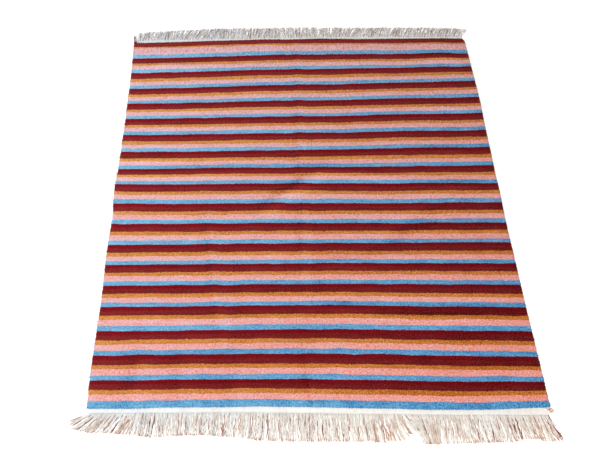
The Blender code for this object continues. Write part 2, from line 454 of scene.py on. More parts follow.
class Wave(NamedTuple):
    """A slow wave of the surface: its heading from +X in degrees, and its sizes."""

    heading: float
    length: float
    height: float
    phase: float


class Ridge(NamedTuple):
    """A soft ridge left by an old fold: its middle, its heading in degrees, and its sizes."""

    across: float
    along: float
    heading: float
    length: float
    width: float
    height: float


WAVES = (
    Wave(22.0, 0.39, 0.0005, 0.0),
    Wave(126.0, 0.49, 0.0005, 1.3),
)
RIDGES = table(
    Ridge,
    (-0.055, 0.030, 35.0, 0.34, 0.075, 0.0024),
    (0.110, -0.380, 96.0, 0.46, 0.110, 0.0026),
    (-0.012, -0.700, 92.0, 0.24, 0.080, 0.0014),
    (-0.330, -0.700, 88.0, 0.20, 0.090, 0.0016),
    (-0.560, -0.690, 86.0, 0.22, 0.090, 0.0016),
    (0.640, -0.720, 60.0, 0.22, 0.120, 0.0020),
)

# Finer creases over the solids' folds, left by the way the rug was once folded. A negative height is
# a trough.
CREASES = table(
    Ridge,
    (-0.470, 0.105, 1.0, 0.62, 0.040, 0.0024),
    (0.085, 0.103, -4.0, 0.26, 0.046, 0.0030),
    (-0.120, -0.022, 40.0, 0.20, 0.055, 0.0031),
    (-0.030, 0.045, 42.0, 0.16, 0.050, 0.0022),
    (0.335, -0.150, 36.0, 0.34, 0.075, -0.0030),
    (-0.035, 0.460, 90.0, 0.90, 0.042, 0.0044),
    (-0.035, -0.200, 90.0, 0.30, 0.040, 0.0036),
    (-0.362, -0.320, 98.0, 0.54, 0.046, 0.0070),
    (-0.300, -0.340, 97.0, 0.50, 0.055, -0.0030),
    (0.045, -0.400, 96.0, 0.40, 0.080, 0.0022),
    (-0.040, -0.410, 3.0, 0.26, 0.090, 0.0026),
    (0.090, -0.285, 0.0, 0.18, 0.042, 0.0030),
    (0.095, -0.455, -2.0, 0.16, 0.040, 0.0026),
    (0.460, -0.505, -2.5, 0.56, 0.040, 0.0030),
    (0.600, -0.620, 96.0, 0.30, 0.160, 0.0028),
    (-0.030, -0.715, 98.0, 0.22, 0.026, 0.0044),
    (-0.600, -0.700, 88.0, 0.26, 0.070, 0.0062),
    (-0.455, -0.720, 90.0, 0.24, 0.070, 0.0058),
    (-0.270, -0.720, 90.0, 0.26, 0.066, 0.0056),
    (0.765, 0.460, 90.0, 0.70, 0.090, 0.0032),
    (-0.765, -0.100, 90.0, 1.50, 0.090, 0.0028),
    (-0.600, 0.645, 2.0, 0.34, 0.044, 0.0034),
    (0.620, 0.692, -3.0, 0.20, 0.044, 0.0030),
    (0.600, 0.410, -6.0, 0.20, 0.036, 0.0024),
    (0.560, 0.192, 0.0, 0.22, 0.036, 0.0026),
    (-0.660, 0.163, 2.0, 0.24, 0.040, 0.0028),
    (0.570, 0.026, -2.0, 0.18, 0.040, 0.0030),
    (0.330, 0.068, -4.0, 0.20, 0.036, 0.0020),
    (-0.270, 0.518, 0.0, 0.40, 0.034, 0.0018),
    (-0.400, -0.490, 0.0, 0.36, 0.034, 0.0018),
    (0.330, -0.765, -3.0, 0.30, 0.036, 0.0020),
)


def folds(ridges: tuple[Ridge, ...], across: Array, along: Array) -> Array:
    """Height that ridges add: height · exp(-(2 · way down it / length)² - (2 · way off it / width)²).

    Args:
        ridges: The ridges.
        across: Places along X.
        along: Places along Y.

    Returns:
        The heights.
    """
    height = np.zeros(np.shape(across))
    for ridge in ridges:
        heading = math.radians(ridge.heading)
        right, forward = across - ridge.across, along - ridge.along
        down_it = right * math.cos(heading) + forward * math.sin(heading)
        off_it = forward * math.cos(heading) - right * math.sin(heading)
        fade = (2.0 * down_it / ridge.length) ** 2 + (2.0 * off_it / ridge.width) ** 2
        height += ridge.height * np.exp(-fade)
    return height


def relief(across: Array, along: Array) -> Array:
    """Height of the pile's surface over its plain level.

    Each wave adds height · sin(2π · way / length + phase), and the ridges and creases add theirs.

    Args:
        across: Places along X.
        along: Places along Y.

    Returns:
        The heights.
    """
    height = np.zeros(np.shape(across))
    for wave in WAVES:
        heading = math.radians(wave.heading)
        way = across * math.cos(heading) + along * math.sin(heading)
        height += wave.height * np.sin(2.0 * math.pi * way / wave.length + wave.phase)
    return height + folds(RIDGES, across, along) + folds(CREASES, across, along)


NAP_WAY = (0.50, -0.87)  # the way towards the painted light, across and along; slopes that face it are painted lighter
NAP_STEP = 0.003  # how far apart the heights are read that give its slope


def nap(across: Array, along: Array) -> Array:
    """How steeply the pile's surface falls towards the painted light, which sets the painted light and shade
    on its slopes.

    A slope is the difference of the relief at two places over their distance.

    Args:
        across: Places along X.
        along: Places along Y.

    Returns:
        The falls, as slopes.
    """
    over = relief(across + NAP_STEP, along) - relief(across - NAP_STEP, along)
    ahead = relief(across, along + NAP_STEP) - relief(across, along - NAP_STEP)
    return -(NAP_WAY[0] * over + NAP_WAY[1] * ahead) / (2.0 * NAP_STEP)


class Repeat(NamedTuple):
    """One repeat of the stripes, from its far side, in millimetres.

    The first five are the lengths of its wools down the middle of the rug. The last two say how
    much further back its first row lies near the left and the right side than in the middle.
    """

    crimson: float
    maroon: float
    gold: float
    pink: float
    blue: float
    left: float
    right: float


REPEATS = table(
    Repeat,
    (3, 22, 8, 36, 21, -17, 1), (14, 17, 13, 23, 17, -18, 4), (15, 18, 17, 19, 18, -17, 12),
    (15, 18, 14, 21, 17, -17, 15), (15, 18, 14, 21, 15, -11, 10), (15, 19, 13, 20, 18, -6, 8),
    (14, 18, 16, 18, 17, -2, 5), (15, 18, 16, 18, 17, -1, 4), (12, 16, 11, 18, 15, 2, 0),
    (15, 18, 15, 21, 19, 6, -11), (15, 18, 15, 20, 17, 10, -9), (14, 18, 14, 20, 16, 11, -11),
    (14, 18, 15, 18, 15, 8, -12), (13, 17, 13, 20, 16, 10, -16), (14, 17, 14, 18, 15, 11, -20),
    (14, 17, 15, 21, 18, 12, -25), (14, 18, 14, 20, 17, 12, -26), (15, 18, 13, 21, 17, 13, -31),
    (13, 18, 15, 20, 22, 17, -30),
)


class Nudge(NamedTuple):
    """A place where the rows swing off their even line: its middle, its reaches and its shift."""

    across: float
    along: float
    reach_across: float
    reach_along: float
    shift: float


NUDGES = table(
    Nudge,
    (-0.360, 0.112, 0.240, 0.034, 0.0034),
    (-0.220, 0.330, 0.150, 0.360, 0.0024),
    (0.470, -0.700, 0.200, 0.160, -0.0030),
    (-0.200, -0.740, 0.140, 0.060, 0.0015),
    (0.600, 0.700, 0.090, 0.120, 0.0036),
    (-0.600, 0.730, 0.090, 0.060, -0.0040),
    (-0.140, 0.740, 0.120, 0.060, 0.0020),
    (0.400, 0.320, 0.160, 0.240, 0.0022),
    (0.300, 0.000, 0.090, 0.050, -0.0034),
    (-0.700, 0.250, 0.130, 0.420, 0.0020),
    (0.360, -0.500, 0.160, 0.070, -0.0022),
    (-0.450, -0.450, 0.140, 0.120, -0.0016),
    (-0.300, 0.600, 0.250, 0.050, 0.0020),
    (-0.150, -0.100, 0.080, 0.060, 0.0024),
    (-0.600, -0.680, 0.140, 0.080, -0.0015),
)
NUDGE_CLEARANCE = 0.022  # how close to an end the rows start to follow only its edge
NEAR_EDGE_LAGS = (22, -26)  # a repeat's last two figures, for the near edge
LAG_REACH = 0.70  # how far from the middle those figures hold
LAG_SETTLE = 14.0  # how sharply the rows take up the lag of an end
WOOL_STARTS = (0.0, 0.175, 0.40, 0.57, 0.785)  # where each wool starts in the pattern's even repeat


@dataclass(frozen=True)
class StripePlan:
    """Where the rug's rows lie. A row is named by its place along the rug's middle line."""

    outline: Outline

    def middle_edge(self, end: End) -> float:
        """Where the pile's edge crosses the middle line.

        Args:
            end: The end.

        Returns:
            Its place along Y.
        """
        o = self.outline
        ends = (o.near_left.across, o.near_right.across)
        if end is End.FAR:
            ends = (o.far_left.across, o.far_right.across)
        return float(self.outline.plain_line(end, -ends[0] / (ends[1] - ends[0])))

    def boundaries(self) -> Array:
        """Rows at which a new wool starts, from far to near, and the near edge's row last.

        Returns:
            The rows.
        """
        lengths = np.array([repeat[:5] for repeat in REPEATS]).ravel()
        down = np.concatenate([[0.0], np.cumsum(lengths)]) / lengths.sum()
        return between(self.middle_edge(End.FAR), self.middle_edge(End.NEAR), down)

    def pattern(self, rows: Array) -> Array:
        """The pattern's coordinate: which repeat, and how far down an even repeat.

        Args:
            rows: The rows.

        Returns:
            Their places in the pattern, which grow by 1 a repeat.
        """
        starts = np.array(WOOL_STARTS)
        even = (np.arange(len(REPEATS))[:, None] + starts).ravel()
        even = np.append(even, float(len(REPEATS)))
        return np.interp(-rows, -self.boundaries(), even)

    def share_along(self, rows: Array) -> Array:
        """A row's share of the way from the near edge to the far edge."""
        near, far = self.middle_edge(End.NEAR), self.middle_edge(End.FAR)
        return (rows - near) / (far - near)

    def along(self, share: Array, across: Array, rows: Array) -> Array:
        """Where rows lie along Y away from the middle line.

        A row's lag is the parabola through 0 in the middle and its two charted lags. Close to
        the ends it gives way to the lag of the plain edge, and closer still the edge's own sways
        are added, so that the last rows follow it.

        Args:
            share: Shares of the way from left to right.
            across: Places along X.
            rows: Places of the rows along the middle line.

        Returns:
            The places along Y.
        """
        starts = np.append(self.boundaries()[:-1:5], self.middle_edge(End.NEAR))
        left = np.array([repeat.left for repeat in REPEATS] + [NEAR_EDGE_LAGS[0]]) * MM
        right = np.array([repeat.right for repeat in REPEATS] + [NEAR_EDGE_LAGS[1]]) * MM
        left_lag = np.interp(-rows, -starts, left)
        right_lag = np.interp(-rows, -starts, right)
        way = across / LAG_REACH
        lag = 0.5 * (right_lag - left_lag) * way + 0.5 * (right_lag + left_lag) * way**2
        down = self.share_along(rows)
        near_lag = self.outline.plain_line(End.NEAR, share) - self.middle_edge(End.NEAR)
        far_lag = self.outline.plain_line(End.FAR, share) - self.middle_edge(End.FAR)
        up = 1.0 - np.clip(down, 0.0, 1.0)
        lag = between(lag, near_lag, up**LAG_SETTLE)
        lag = between(lag, far_lag, (1.0 - up) ** LAG_SETTLE)
        lag = lag + swayed(NEAR_PILE_SWAYS, share) * up ** (3.0 * LAG_SETTLE)
        lag = lag + swayed(FAR_PILE_SWAYS, share) * (1.0 - up) ** (3.0 * LAG_SETTLE)
        length = self.middle_edge(End.FAR) - self.middle_edge(End.NEAR)
        hold = eased(np.minimum(down, 1.0 - down) * length / NUDGE_CLEARANCE)
        for nudge in NUDGES:
            off = ((across - nudge.across) / nudge.reach_across) ** 2
            off = off + ((rows + lag - nudge.along) / nudge.reach_along) ** 2
            lag = lag + hold * nudge.shift * np.exp(-off)
        return rows + lag


def spaced(marks: Array, widest: float) -> Array:
    """The marks and, between each pair, as many even steps as keep them under the widest.

    Args:
        marks: Places in order, up or down.
        widest: The widest step.

    Returns:
        The marks and the steps between them.
    """
    found = [marks[:1]]
    for start, end in zip(marks[:-1], marks[1:]):
        steps = max(1, math.ceil(abs(end - start) / widest))
        found.append(np.linspace(start, end, steps + 1)[1:])
    return np.concatenate(found)


# ---- Shader nodes ---------------------------------------------------------------------------

Socket = bpy.types.NodeSocket
Stop = tuple[float, tuple[float, float, float]]
Feeds = dict[int | str, object]


def linear(red: float, green: float, blue: float) -> tuple[float, float, float]:
    """A colour's linear values from its display values of 0 to 255."""
    shares = (value / 255.0 for value in (red, green, blue))
    return tuple(s / 12.92 if s <= 0.04045 else ((s + 0.055) / 1.055) ** 2.4 for s in shares)


def set_plain(node: bpy.types.Node, **values: object) -> None:
    """Sets a node's own values by the names of its sockets, with _ for a space."""
    for socket, value in values.items():
        node.inputs[socket.replace("_", " ")].default_value = value


class Mottle(NamedTuple):
    """Noise over the weave: how fine it is across and along, its width about 0, and its detail."""

    across: float
    along: float
    width: float
    detail: float = 1.0
    rough: float = 0.5


class Bump(NamedTuple):
    """A finish's fine relief: how strongly it shades, from 0 to 1, and its depth in metres."""

    strength: float
    depth: float


class Loom:
    """Places nodes in one node tree and wires them."""

    def __init__(self, tree: bpy.types.NodeTree) -> None:
        """Keeps the tree."""
        self.tree = tree

    def node(self, kind: str, feeds: Feeds | None = None, **settings: object) -> bpy.types.Node:
        """Adds a node.

        Args:
            kind: The node's type.
            feeds: A socket or a value for each input, by its name or number.
            **settings: The node's properties, which are set first.

        Returns:
            The node.
        """
        made = self.tree.nodes.new(kind)
        for name, value in settings.items():
            setattr(made, name, value)
        for socket, value in (feeds or {}).items():
            self.feed(made.inputs[socket], value)
        return made

    def feed(self, target: Socket, value: object) -> None:
        """Links a socket to the target, or sets the target's own value.

        Args:
            target: The input.
            value: A socket or a value.
        """
        if isinstance(value, bpy.types.NodeSocket):
            self.tree.links.new(value, target)
        else:
            target.default_value = value

    def sum(self, operation: str, *values: Socket | float) -> Socket:
        """A Math node's result."""
        return self.node("ShaderNodeMath", dict(enumerate(values)), operation=operation).outputs[0]

    def noise(self, vector: Socket, scale: float, detail: float = 2.0, rough: float = 0.5) -> Socket:
        """Smooth noise, about 0.5 on average."""
        feeds = {"Vector": vector, "Scale": scale, "Detail": detail, "Roughness": rough}
        return self.node("ShaderNodeTexNoise", feeds).outputs["Fac"]

    def swing(self, source: Socket, width: float) -> Socket:
        """Turns noise about 0.5 into an offset about 0, of the given width."""
        return self.sum("MULTIPLY", self.sum("SUBTRACT", source, 0.5), width)

    def clamped(self, value: Socket, low: float, high: float) -> Socket:
        """A value held between two others."""
        return self.sum("MINIMUM", self.sum("MAXIMUM", value, low), high)

    def stretched(self, vector: Socket, x: float, y: float) -> Socket:
        """A vector multiplied along X and along Y."""
        feeds = {0: vector, 1: (x, y, 1.0)}
        return self.node("ShaderNodeVectorMath", feeds, operation="MULTIPLY").outputs[0]

    def mottle(self, weave: Socket, kind: Mottle) -> Socket:
        """Noise of a kind over the weave's coordinates, as an offset about 0."""
        fine = self.stretched(weave, kind.across, kind.along)
        return self.swing(self.noise(fine, 1.0, kind.detail, kind.rough), kind.width)

    def axes(self, vector: Socket) -> bpy.types.NodeOutputs:
        """A vector's X, Y and Z."""
        return self.node("ShaderNodeSeparateXYZ", {0: vector}).outputs

    def attribute(self, name: str) -> Socket:
        """A mesh's own value, by name."""
        return self.node("ShaderNodeAttribute", attribute_name=name).outputs["Fac"]

    def object_place(self) -> Socket:
        """The place in the object's own frame."""
        return self.node("ShaderNodeTexCoord").outputs["Object"]

    def ramp(self, factor: Socket, stops: list[Stop]) -> Socket:
        """A colour ramp's result.

        Args:
            factor: The place on the ramp.
            stops: The ramp's stops, in order.

        Returns:
            The colour.
        """
        made = self.node("ShaderNodeValToRGB", {"Fac": factor})
        elements = made.color_ramp.elements
        for number, (place, colour) in enumerate(stops):
            element = elements[number] if number < 2 else elements.new(place)
            element.position = place
            element.color = (*colour, 1.0)
        return made.outputs["Color"]

    def mix(self, factor: Socket | float, first: object, second: object, how: str = "MIX") -> Socket:
        """A colour mix's result: the first colour at a factor of 0, and the second mixed in at 1."""
        feeds = {0: factor, 6: first, 7: second}
        return self.node("ShaderNodeMix", feeds, data_type="RGBA", blend_type=how).outputs[2]

    def dress(self, shader: bpy.types.Node, colour: Socket, height: Socket, bump: Bump) -> None:
        """Feeds a shader's colour, and its normal by way of a Bump node.

        Args:
            shader: The shader.
            colour: Its colour.
            height: The relief's height.
            bump: The relief's strength and depth.
        """
        feeds = {"Strength": bump.strength, "Distance": bump.depth, "Height": height}
        made = self.node("ShaderNodeBump", feeds)
        self.feed(shader.inputs["Base Color"], colour)
        self.feed(shader.inputs["Normal"], made.outputs["Normal"])


class Effect:
    """A shader node group with named inputs and outputs, built once for several materials."""

    def __init__(self, name: str, inputs: dict[str, str], outputs: dict[str, str]) -> None:
        """Makes the group's sockets.

        Args:
            name: The group's name.
            inputs: Socket types by name.
            outputs: Socket types by name.
        """
        self.tree = bpy.data.node_groups.new(name, "ShaderNodeTree")
        for socket, kind in inputs.items():
            self.tree.interface.new_socket(name=socket, in_out="INPUT", socket_type=kind)
        for socket, kind in outputs.items():
            self.tree.interface.new_socket(name=socket, in_out="OUTPUT", socket_type=kind)
        self.loom = Loom(self.tree)
        self.entry = self.tree.nodes.new("NodeGroupInput").outputs
        self.exit = self.tree.nodes.new("NodeGroupOutput").inputs

    def place(self, loom: Loom, **values: object) -> bpy.types.NodeOutputs:
        """Puts the group into a material's tree, feeds its inputs and returns its outputs."""
        feeds = {socket.replace("_", " "): value for socket, value in values.items()}
        return loom.node("ShaderNodeGroup", feeds, node_tree=self.tree).outputs


VECTOR, COLOUR, VALUE = "NodeSocketVector", "NodeSocketColor", "NodeSocketFloat"


class WoolHabit(NamedTuple):
    """A dyed wool: its shaded and its lit colour, and how much it is speckled, clouded and streaked."""

    deep: tuple[float, float, float]
    light: tuple[float, float, float]
    speckle: float
    cloud: float
    streak: float


WOOLS = (
    WoolHabit(linear(84, 1, 2), linear(166, 25, 39), 0.28, 0.10, 0.16),
    WoolHabit(linear(73, 2, 4), linear(168, 56, 57), 0.24, 0.10, 0.20),
    WoolHabit(linear(170, 81, 2), linear(252, 183, 104), 0.33, 0.13, 0.11),
    WoolHabit(linear(229, 131, 100), linear(255, 215, 228), 0.40, 0.11, 0.11),
    WoolHabit(linear(32, 113, 173), linear(158, 223, 255), 0.27, 0.20, 0.11),
)
PALEST = 0.635  # the tone at the far end of the middle line, from 0, deep, to 1, light, with the painted sheen
PALER_ACROSS = -0.18  # how the painted sheen changes the tone for a metre across, paler on the left
PALER_ALONG = -0.0168  # and for a repeat of the stripes, paler at the far end
NAP_TONE = 1.2  # and for the painted light and shade of a slope, as a slope
SPECK_TONE = 0.62  # and for a speck
ROW_WANDER = Mottle(11.0, 2.6, 0.085)
ROW_BEAT = Mottle(92.0, 5.0, 0.062)
SEAM_JAG = Mottle(240.0, 9.0, 0.034)
CLOUD = Mottle(17.0, 2.3, 2.6, 3.0, 0.6)
STREAK = Mottle(7.0, 24.0, 2.6, 3.0, 0.6)
BATCH = Mottle(0.7, 4.6, 0.28)
FLECK = Mottle(120.0, 6.5, 3.2)  # groups of tufts, which add to the tips' light and shade, strongest at the far end
TUFT = Mottle(200.0, 16.5, 5.0, 2.0, 0.75)
KNOT_FINENESS = (290.0, 24.0)
KNOT_HOLLOW, KNOT_CROWN = -1.3, 0.6  # the shade between knots, and the light on their middles
FIBRE_FINENESS, FIBRE_HEIGHT = 900.0, 0.6
SPECK_FINENESS = (330.0, 22.0)
SPECK_FROM, SPECK_GAIN = 0.66, 7.0  # the noise at which a pale speck starts, and how fast it grows
RUG_MARGINS = (0.004, 0.012)  # how far the pattern stays inside its first and its last row
SEAMS = (0.045, 0.014, 0.012, 0.010, 0.008)  # half widths of the changes that close each wool


def wool_stops(values: list[tuple[float, float, float]]) -> list[Stop]:
    """A ramp's stops that hold one value over each wool and change over at its seam.

    Args:
        values: Each wool's value, in the order of the stripes.

    Returns:
        The ramp's stops.
    """
    stops: list[Stop] = []
    for number, value in enumerate(values):
        start, end = (*WOOL_STARTS, 1.0)[number : number + 2]
        stops.append((start + (SEAMS[number - 1] if number else 0.0), value))
        stops.append((end - SEAMS[number], value))
    stops.append((1.0, values[0]))
    return stops


def stripe_effect() -> Effect:
    """The dyed stripes, from the weave's coordinates.

    The pattern's coordinate is pushed to and fro by a slow wander of the rows and by the knots'
    own size, and its fraction then picks the wool's deep and light colours. Between those two lies
    the tone: the tips' own, clouded in broad patches, streaked along the rows, with painted light
    and shade on the relief's slopes, lighter where they face the painted light, and paler towards
    the far left, a painted sheen.

    Returns:
        The group.
    """
    inputs = {"Weave": VECTOR, "Seam Waver": VALUE, "Tips": VALUE, "Specks": VALUE, "Nap": VALUE}
    effect = Effect("dyed stripes", inputs, {"Colour": COLOUR})
    loom = effect.loom
    weave, waver = effect.entry["Weave"], effect.entry["Seam Waver"]
    across, down = loom.axes(weave)[:2]
    pushed = loom.sum("ADD", down, loom.mottle(weave, ROW_WANDER))
    pushed = loom.sum("ADD", pushed, loom.mottle(weave, ROW_BEAT))
    pushed = loom.sum("MULTIPLY_ADD", loom.mottle(weave, SEAM_JAG), waver, pushed)
    phase = loom.sum("FRACT", loom.clamped(pushed, RUG_MARGINS[0], len(REPEATS) - RUG_MARGINS[1]))
    deep = loom.ramp(phase, wool_stops([wool.deep for wool in WOOLS]))
    light = loom.ramp(phase, wool_stops([wool.light for wool in WOOLS]))
    habits = loom.ramp(phase, wool_stops([(w.speckle, w.cloud, w.streak) for w in WOOLS]))
    speckle, cloudy, streaky = loom.node("ShaderNodeSeparateColor", {0: habits}).outputs

    farness = loom.sum("MULTIPLY_ADD", down, -1.0 / len(REPEATS), 1.0)
    tips = loom.sum("MULTIPLY_ADD", loom.mottle(weave, FLECK), farness, effect.entry["Tips"])
    tone = loom.sum("MULTIPLY_ADD", across, PALER_ACROSS, PALEST)
    for cause, strength in (
        (down, PALER_ALONG),
        (effect.entry["Nap"], NAP_TONE),
        (tips, speckle),
        (effect.entry["Specks"], SPECK_TONE),
        (loom.mottle(weave, CLOUD), cloudy),
        (loom.mottle(weave, STREAK), streaky),
    ):
        tone = loom.sum("MULTIPLY_ADD", cause, strength, tone)
    tone = loom.sum("ADD", tone, loom.mottle(weave, BATCH))
    loom.feed(effect.exit["Colour"], loom.mix(tone, deep, light))
    return effect


def pile_effect() -> Effect:
    """The cut pile's tips: tufts of a knot or two that lean apart, and loose fibres over them.

    Tips goes from about -1, the shade between tufts, to 1, the lit ends. Height follows it. Specks
    is 0 nearly everywhere, and goes up to 1 on the few tufts that stand out pale.

    Returns:
        The group.
    """
    outputs = {"Tips": VALUE, "Specks": VALUE, "Height": VALUE}
    effect = Effect("cut pile", {"Weave": VECTOR, "Place": VECTOR}, outputs)
    loom = effect.loom
    weave = effect.entry["Weave"]
    tufts = loom.mottle(weave, TUFT)
    feeds = {"Vector": loom.stretched(weave, *KNOT_FINENESS), "Scale": 1.0}
    knots = loom.node("ShaderNodeTexVoronoi", feeds)
    hollows = loom.sum("MULTIPLY_ADD", knots.outputs["Distance"], KNOT_HOLLOW, KNOT_CROWN)
    tips = loom.sum("ADD", tufts, hollows)
    fibres = loom.noise(effect.entry["Place"], FIBRE_FINENESS, 3.0, 0.7)
    loose = loom.noise(loom.stretched(weave, *SPECK_FINENESS), 1.0, 0.0)
    specks = loom.sum("MULTIPLY", loom.sum("SUBTRACT", loose, SPECK_FROM), SPECK_GAIN)
    loom.feed(effect.exit["Specks"], loom.clamped(specks, 0.0, 1.0))
    loom.feed(effect.exit["Tips"], tips)
    loom.feed(effect.exit["Height"], loom.sum("MULTIPLY_ADD", fibres, FIBRE_HEIGHT, tips))
    return effect


COOL_COTTON = (0.925, 0.995, 1.075, 1.0)  # painted cool window light: what the cotton's colour is multiplied by on the left
COOLER_ACROSS, COOL_MIDDLE = -0.9, 0.12  # how much of that a metre across adds, and its share at x = 0
PATCH_FINENESS, PATCH_WIDTH = 60.0, 1.1
HAIR_FINENESS, HAIR_WIDTH = 1400.0, 0.8
PLY_HEIGHT = 0.5
PLIES = 2


def cotton_effect() -> Effect:
    """Undyed cotton: its own change of tone from yarn to yarn and along each, dust, and painted shade.

    A painted cool light tints the cotton towards the left. Dust and shade goes from 0, clean, to 1,
    the darkest; on the deep yarns it is painted shade in the gaps between the locks. It takes light
    away as layers of a stain do, so the cotton's colour is multiplied by the dust and shade colour
    to the power of that value.

    Returns:
        The group.
    """
    inputs = {"Place": VECTOR, "Tone": VALUE, "Dust": VALUE}
    inputs |= {"Clean": COLOUR, "Shaded": COLOUR, "Soiled": COLOUR}
    effect = Effect("undyed cotton", inputs, {"Colour": COLOUR})
    loom = effect.loom
    patches = loom.swing(loom.noise(effect.entry["Place"], PATCH_FINENESS, 3.0, 0.6), PATCH_WIDTH)
    shade = loom.clamped(loom.sum("ADD", effect.entry["Tone"], patches), 0.0, 1.0)
    cotton = loom.mix(shade, effect.entry["Shaded"], effect.entry["Clean"])
    # Painted cool light from the left.
    cool = loom.sum("MULTIPLY_ADD", loom.axes(effect.entry["Place"])["X"], COOLER_ACROSS, COOL_MIDDLE)
    cotton = loom.mix(loom.clamped(cool, 0.0, 1.0), cotton, COOL_COTTON, "MULTIPLY")
    dust = loom.node("ShaderNodeGamma", {"Color": effect.entry["Soiled"], "Gamma": effect.entry["Dust"]})
    loom.feed(effect.exit["Colour"], loom.mix(1.0, cotton, dust.outputs["Color"], "MULTIPLY"))
    return effect


def ply_effect() -> Effect:
    """A spun yarn's relief: plies that wind round it, and hairs along it.

    The plies are a sine of the share of the way round and of the metres along.

    Returns:
        The group.
    """
    inputs = {"Yarn": VECTOR, "Turns": VALUE, "Place": VECTOR}
    effect = Effect("spun ply", inputs, {"Height": VALUE})
    loom = effect.loom
    way_round, metres = loom.axes(effect.entry["Yarn"])[:2]
    turns = loom.sum("MULTIPLY_ADD", metres, effect.entry["Turns"], way_round)
    angle = loom.sum("MULTIPLY", turns, 2.0 * math.pi * PLIES)
    plies = loom.sum("MULTIPLY", loom.sum("SINE", angle), PLY_HEIGHT)
    hairs = loom.swing(loom.noise(effect.entry["Place"], HAIR_FINENESS, 2.0, 0.6), HAIR_WIDTH)
    loom.feed(effect.exit["Height"], loom.sum("ADD", plies, hairs))
    return effect


@dataclass(frozen=True)
class Effects:
    """The node groups that the rug's materials share."""

    stripes: Effect
    pile: Effect
    cotton: Effect
    ply: Effect

    @classmethod
    def build(cls) -> Effects:
        """Makes every group once."""
        return cls(stripe_effect(), pile_effect(), cotton_effect(), ply_effect())


def bare_material(name: str) -> tuple[bpy.types.Material, Loom, bpy.types.Node]:
    """A material with only its Principled shader.

    Args:
        name: The material's name.

    Returns:
        The material, a loom for its nodes, and the shader.
    """
    material = bpy.data.materials.new(name)
    material.use_nodes = True
    shader = material.node_tree.nodes["Principled BSDF"]
    return material, Loom(material.node_tree), shader


@dataclass(frozen=True)
class WoolFinish:
    """Dyed wool: hand-knotted pile, its loose ends, or the backs of its knots."""

    name: str
    bump: Bump = Bump(0.5, 0.0010)
    seam_waver: float = 1.0
    roughness: float = 0.95
    sheen: float = 0.03
    sheen_roughness: float = 0.5
    specular: float = 0.05

    def material(self, effects: Effects) -> bpy.types.Material:
        """Builds the material.

        Args:
            effects: The shared node groups.

        Returns:
            The material.
        """
        material, loom, shader = bare_material(self.name)
        weave = loom.node("ShaderNodeUVMap", uv_map="Weave").outputs["UV"]
        pile = effects.pile.place(loom, Weave=weave, Place=loom.object_place())
        dyed = effects.stripes.place(
            loom,
            Weave=weave,
            Seam_Waver=self.seam_waver,
            Tips=pile["Tips"],
            Specks=pile["Specks"],
            Nap=loom.attribute("nap"),
        )
        loom.dress(shader, dyed["Colour"], pile["Height"], self.bump)
        set_plain(shader, Roughness=self.roughness, Specular_IOR_Level=self.specular)
        set_plain(shader, Sheen_Weight=self.sheen, Sheen_Roughness=self.sheen_roughness)
        return material


@dataclass(frozen=True)
class CottonFinish:
    """Undyed cotton: flat-woven, twined or hanging loose as fringe."""

    name: str
    clean: tuple[float, float, float]
    shaded: tuple[float, float, float]
    # The colour of dust and of the painted shade in the gaps between a fringe's locks.
    soiled: tuple[float, float, float] = linear(112, 60, 48)
    turns: float = 160.0
    bump: Bump = Bump(0.6, 0.0004)
    roughness: float = 0.9
    sheen: float = 0.08
    specular: float = 0.2

    def material(self, effects: Effects) -> bpy.types.Material:
        """Builds the material.

        Args:
            effects: The shared node groups.

        Returns:
            The material.
        """
        material, loom, shader = bare_material(self.name)
        yarn = loom.node("ShaderNodeUVMap", uv_map="Yarn").outputs["UV"]
        place = loom.object_place()
        colour = effects.cotton.place(
            loom,
            Place=place,
            Tone=loom.attribute("tone"),
            Dust=loom.attribute("dust"),
            Clean=(*self.clean, 1.0),
            Shaded=(*self.shaded, 1.0),
            Soiled=(*self.soiled, 1.0),
        )["Colour"]
        height = effects.ply.place(loom, Yarn=yarn, Turns=self.turns, Place=place)["Height"]
        loom.dress(shader, colour, height, self.bump)
        set_plain(shader, Roughness=self.roughness, Specular_IOR_Level=self.specular)
        set_plain(shader, Sheen_Weight=self.sheen)
        return material


CUT_PILE = WoolFinish("knotted wool pile")
KNOT_BACKS = WoolFinish("backs of the knots", Bump(0.8, 0.0006), sheen=0.0)
CUT_TUFTS = WoolFinish("cut wool tufts", Bump(0.35, 0.0005))
LOOSE_ENDS = WoolFinish("loose wool ends", Bump(0.3, 0.0010), seam_waver=0.0)
NEAR_WOVEN = CottonFinish("flat-woven cotton", linear(255, 252, 246), linear(238, 231, 223))
FAR_WOVEN = CottonFinish("far flat-woven cotton", linear(255, 255, 254), linear(242, 240, 236))
# The near fringe's third colour is that of dust and of the painted shade between its locks.
NEAR_YARN = CottonFinish(
    "near fringe cotton", linear(255, 253, 248), linear(218, 202, 187), linear(126, 58, 34)
)
FAR_YARN = CottonFinish("far fringe cotton", linear(255, 253, 251), linear(196, 182, 174))
TWINED_COTTON = CottonFinish("twined cotton", linear(255, 253, 250), linear(244, 239, 232))


# ---- The cloth ------------------------------------------------------------------------------


class Lump(NamedTuple):
    """Unevenness of one size: its part of the whole, its lattice's spacing, and its seed."""

    part: float
    cell: float
    seed: int

    def over(self, across: Array, along: Array) -> Array:
        """The unevenness at places across and along."""
        return self.part * unevenness(across, along, self.cell, self.seed)


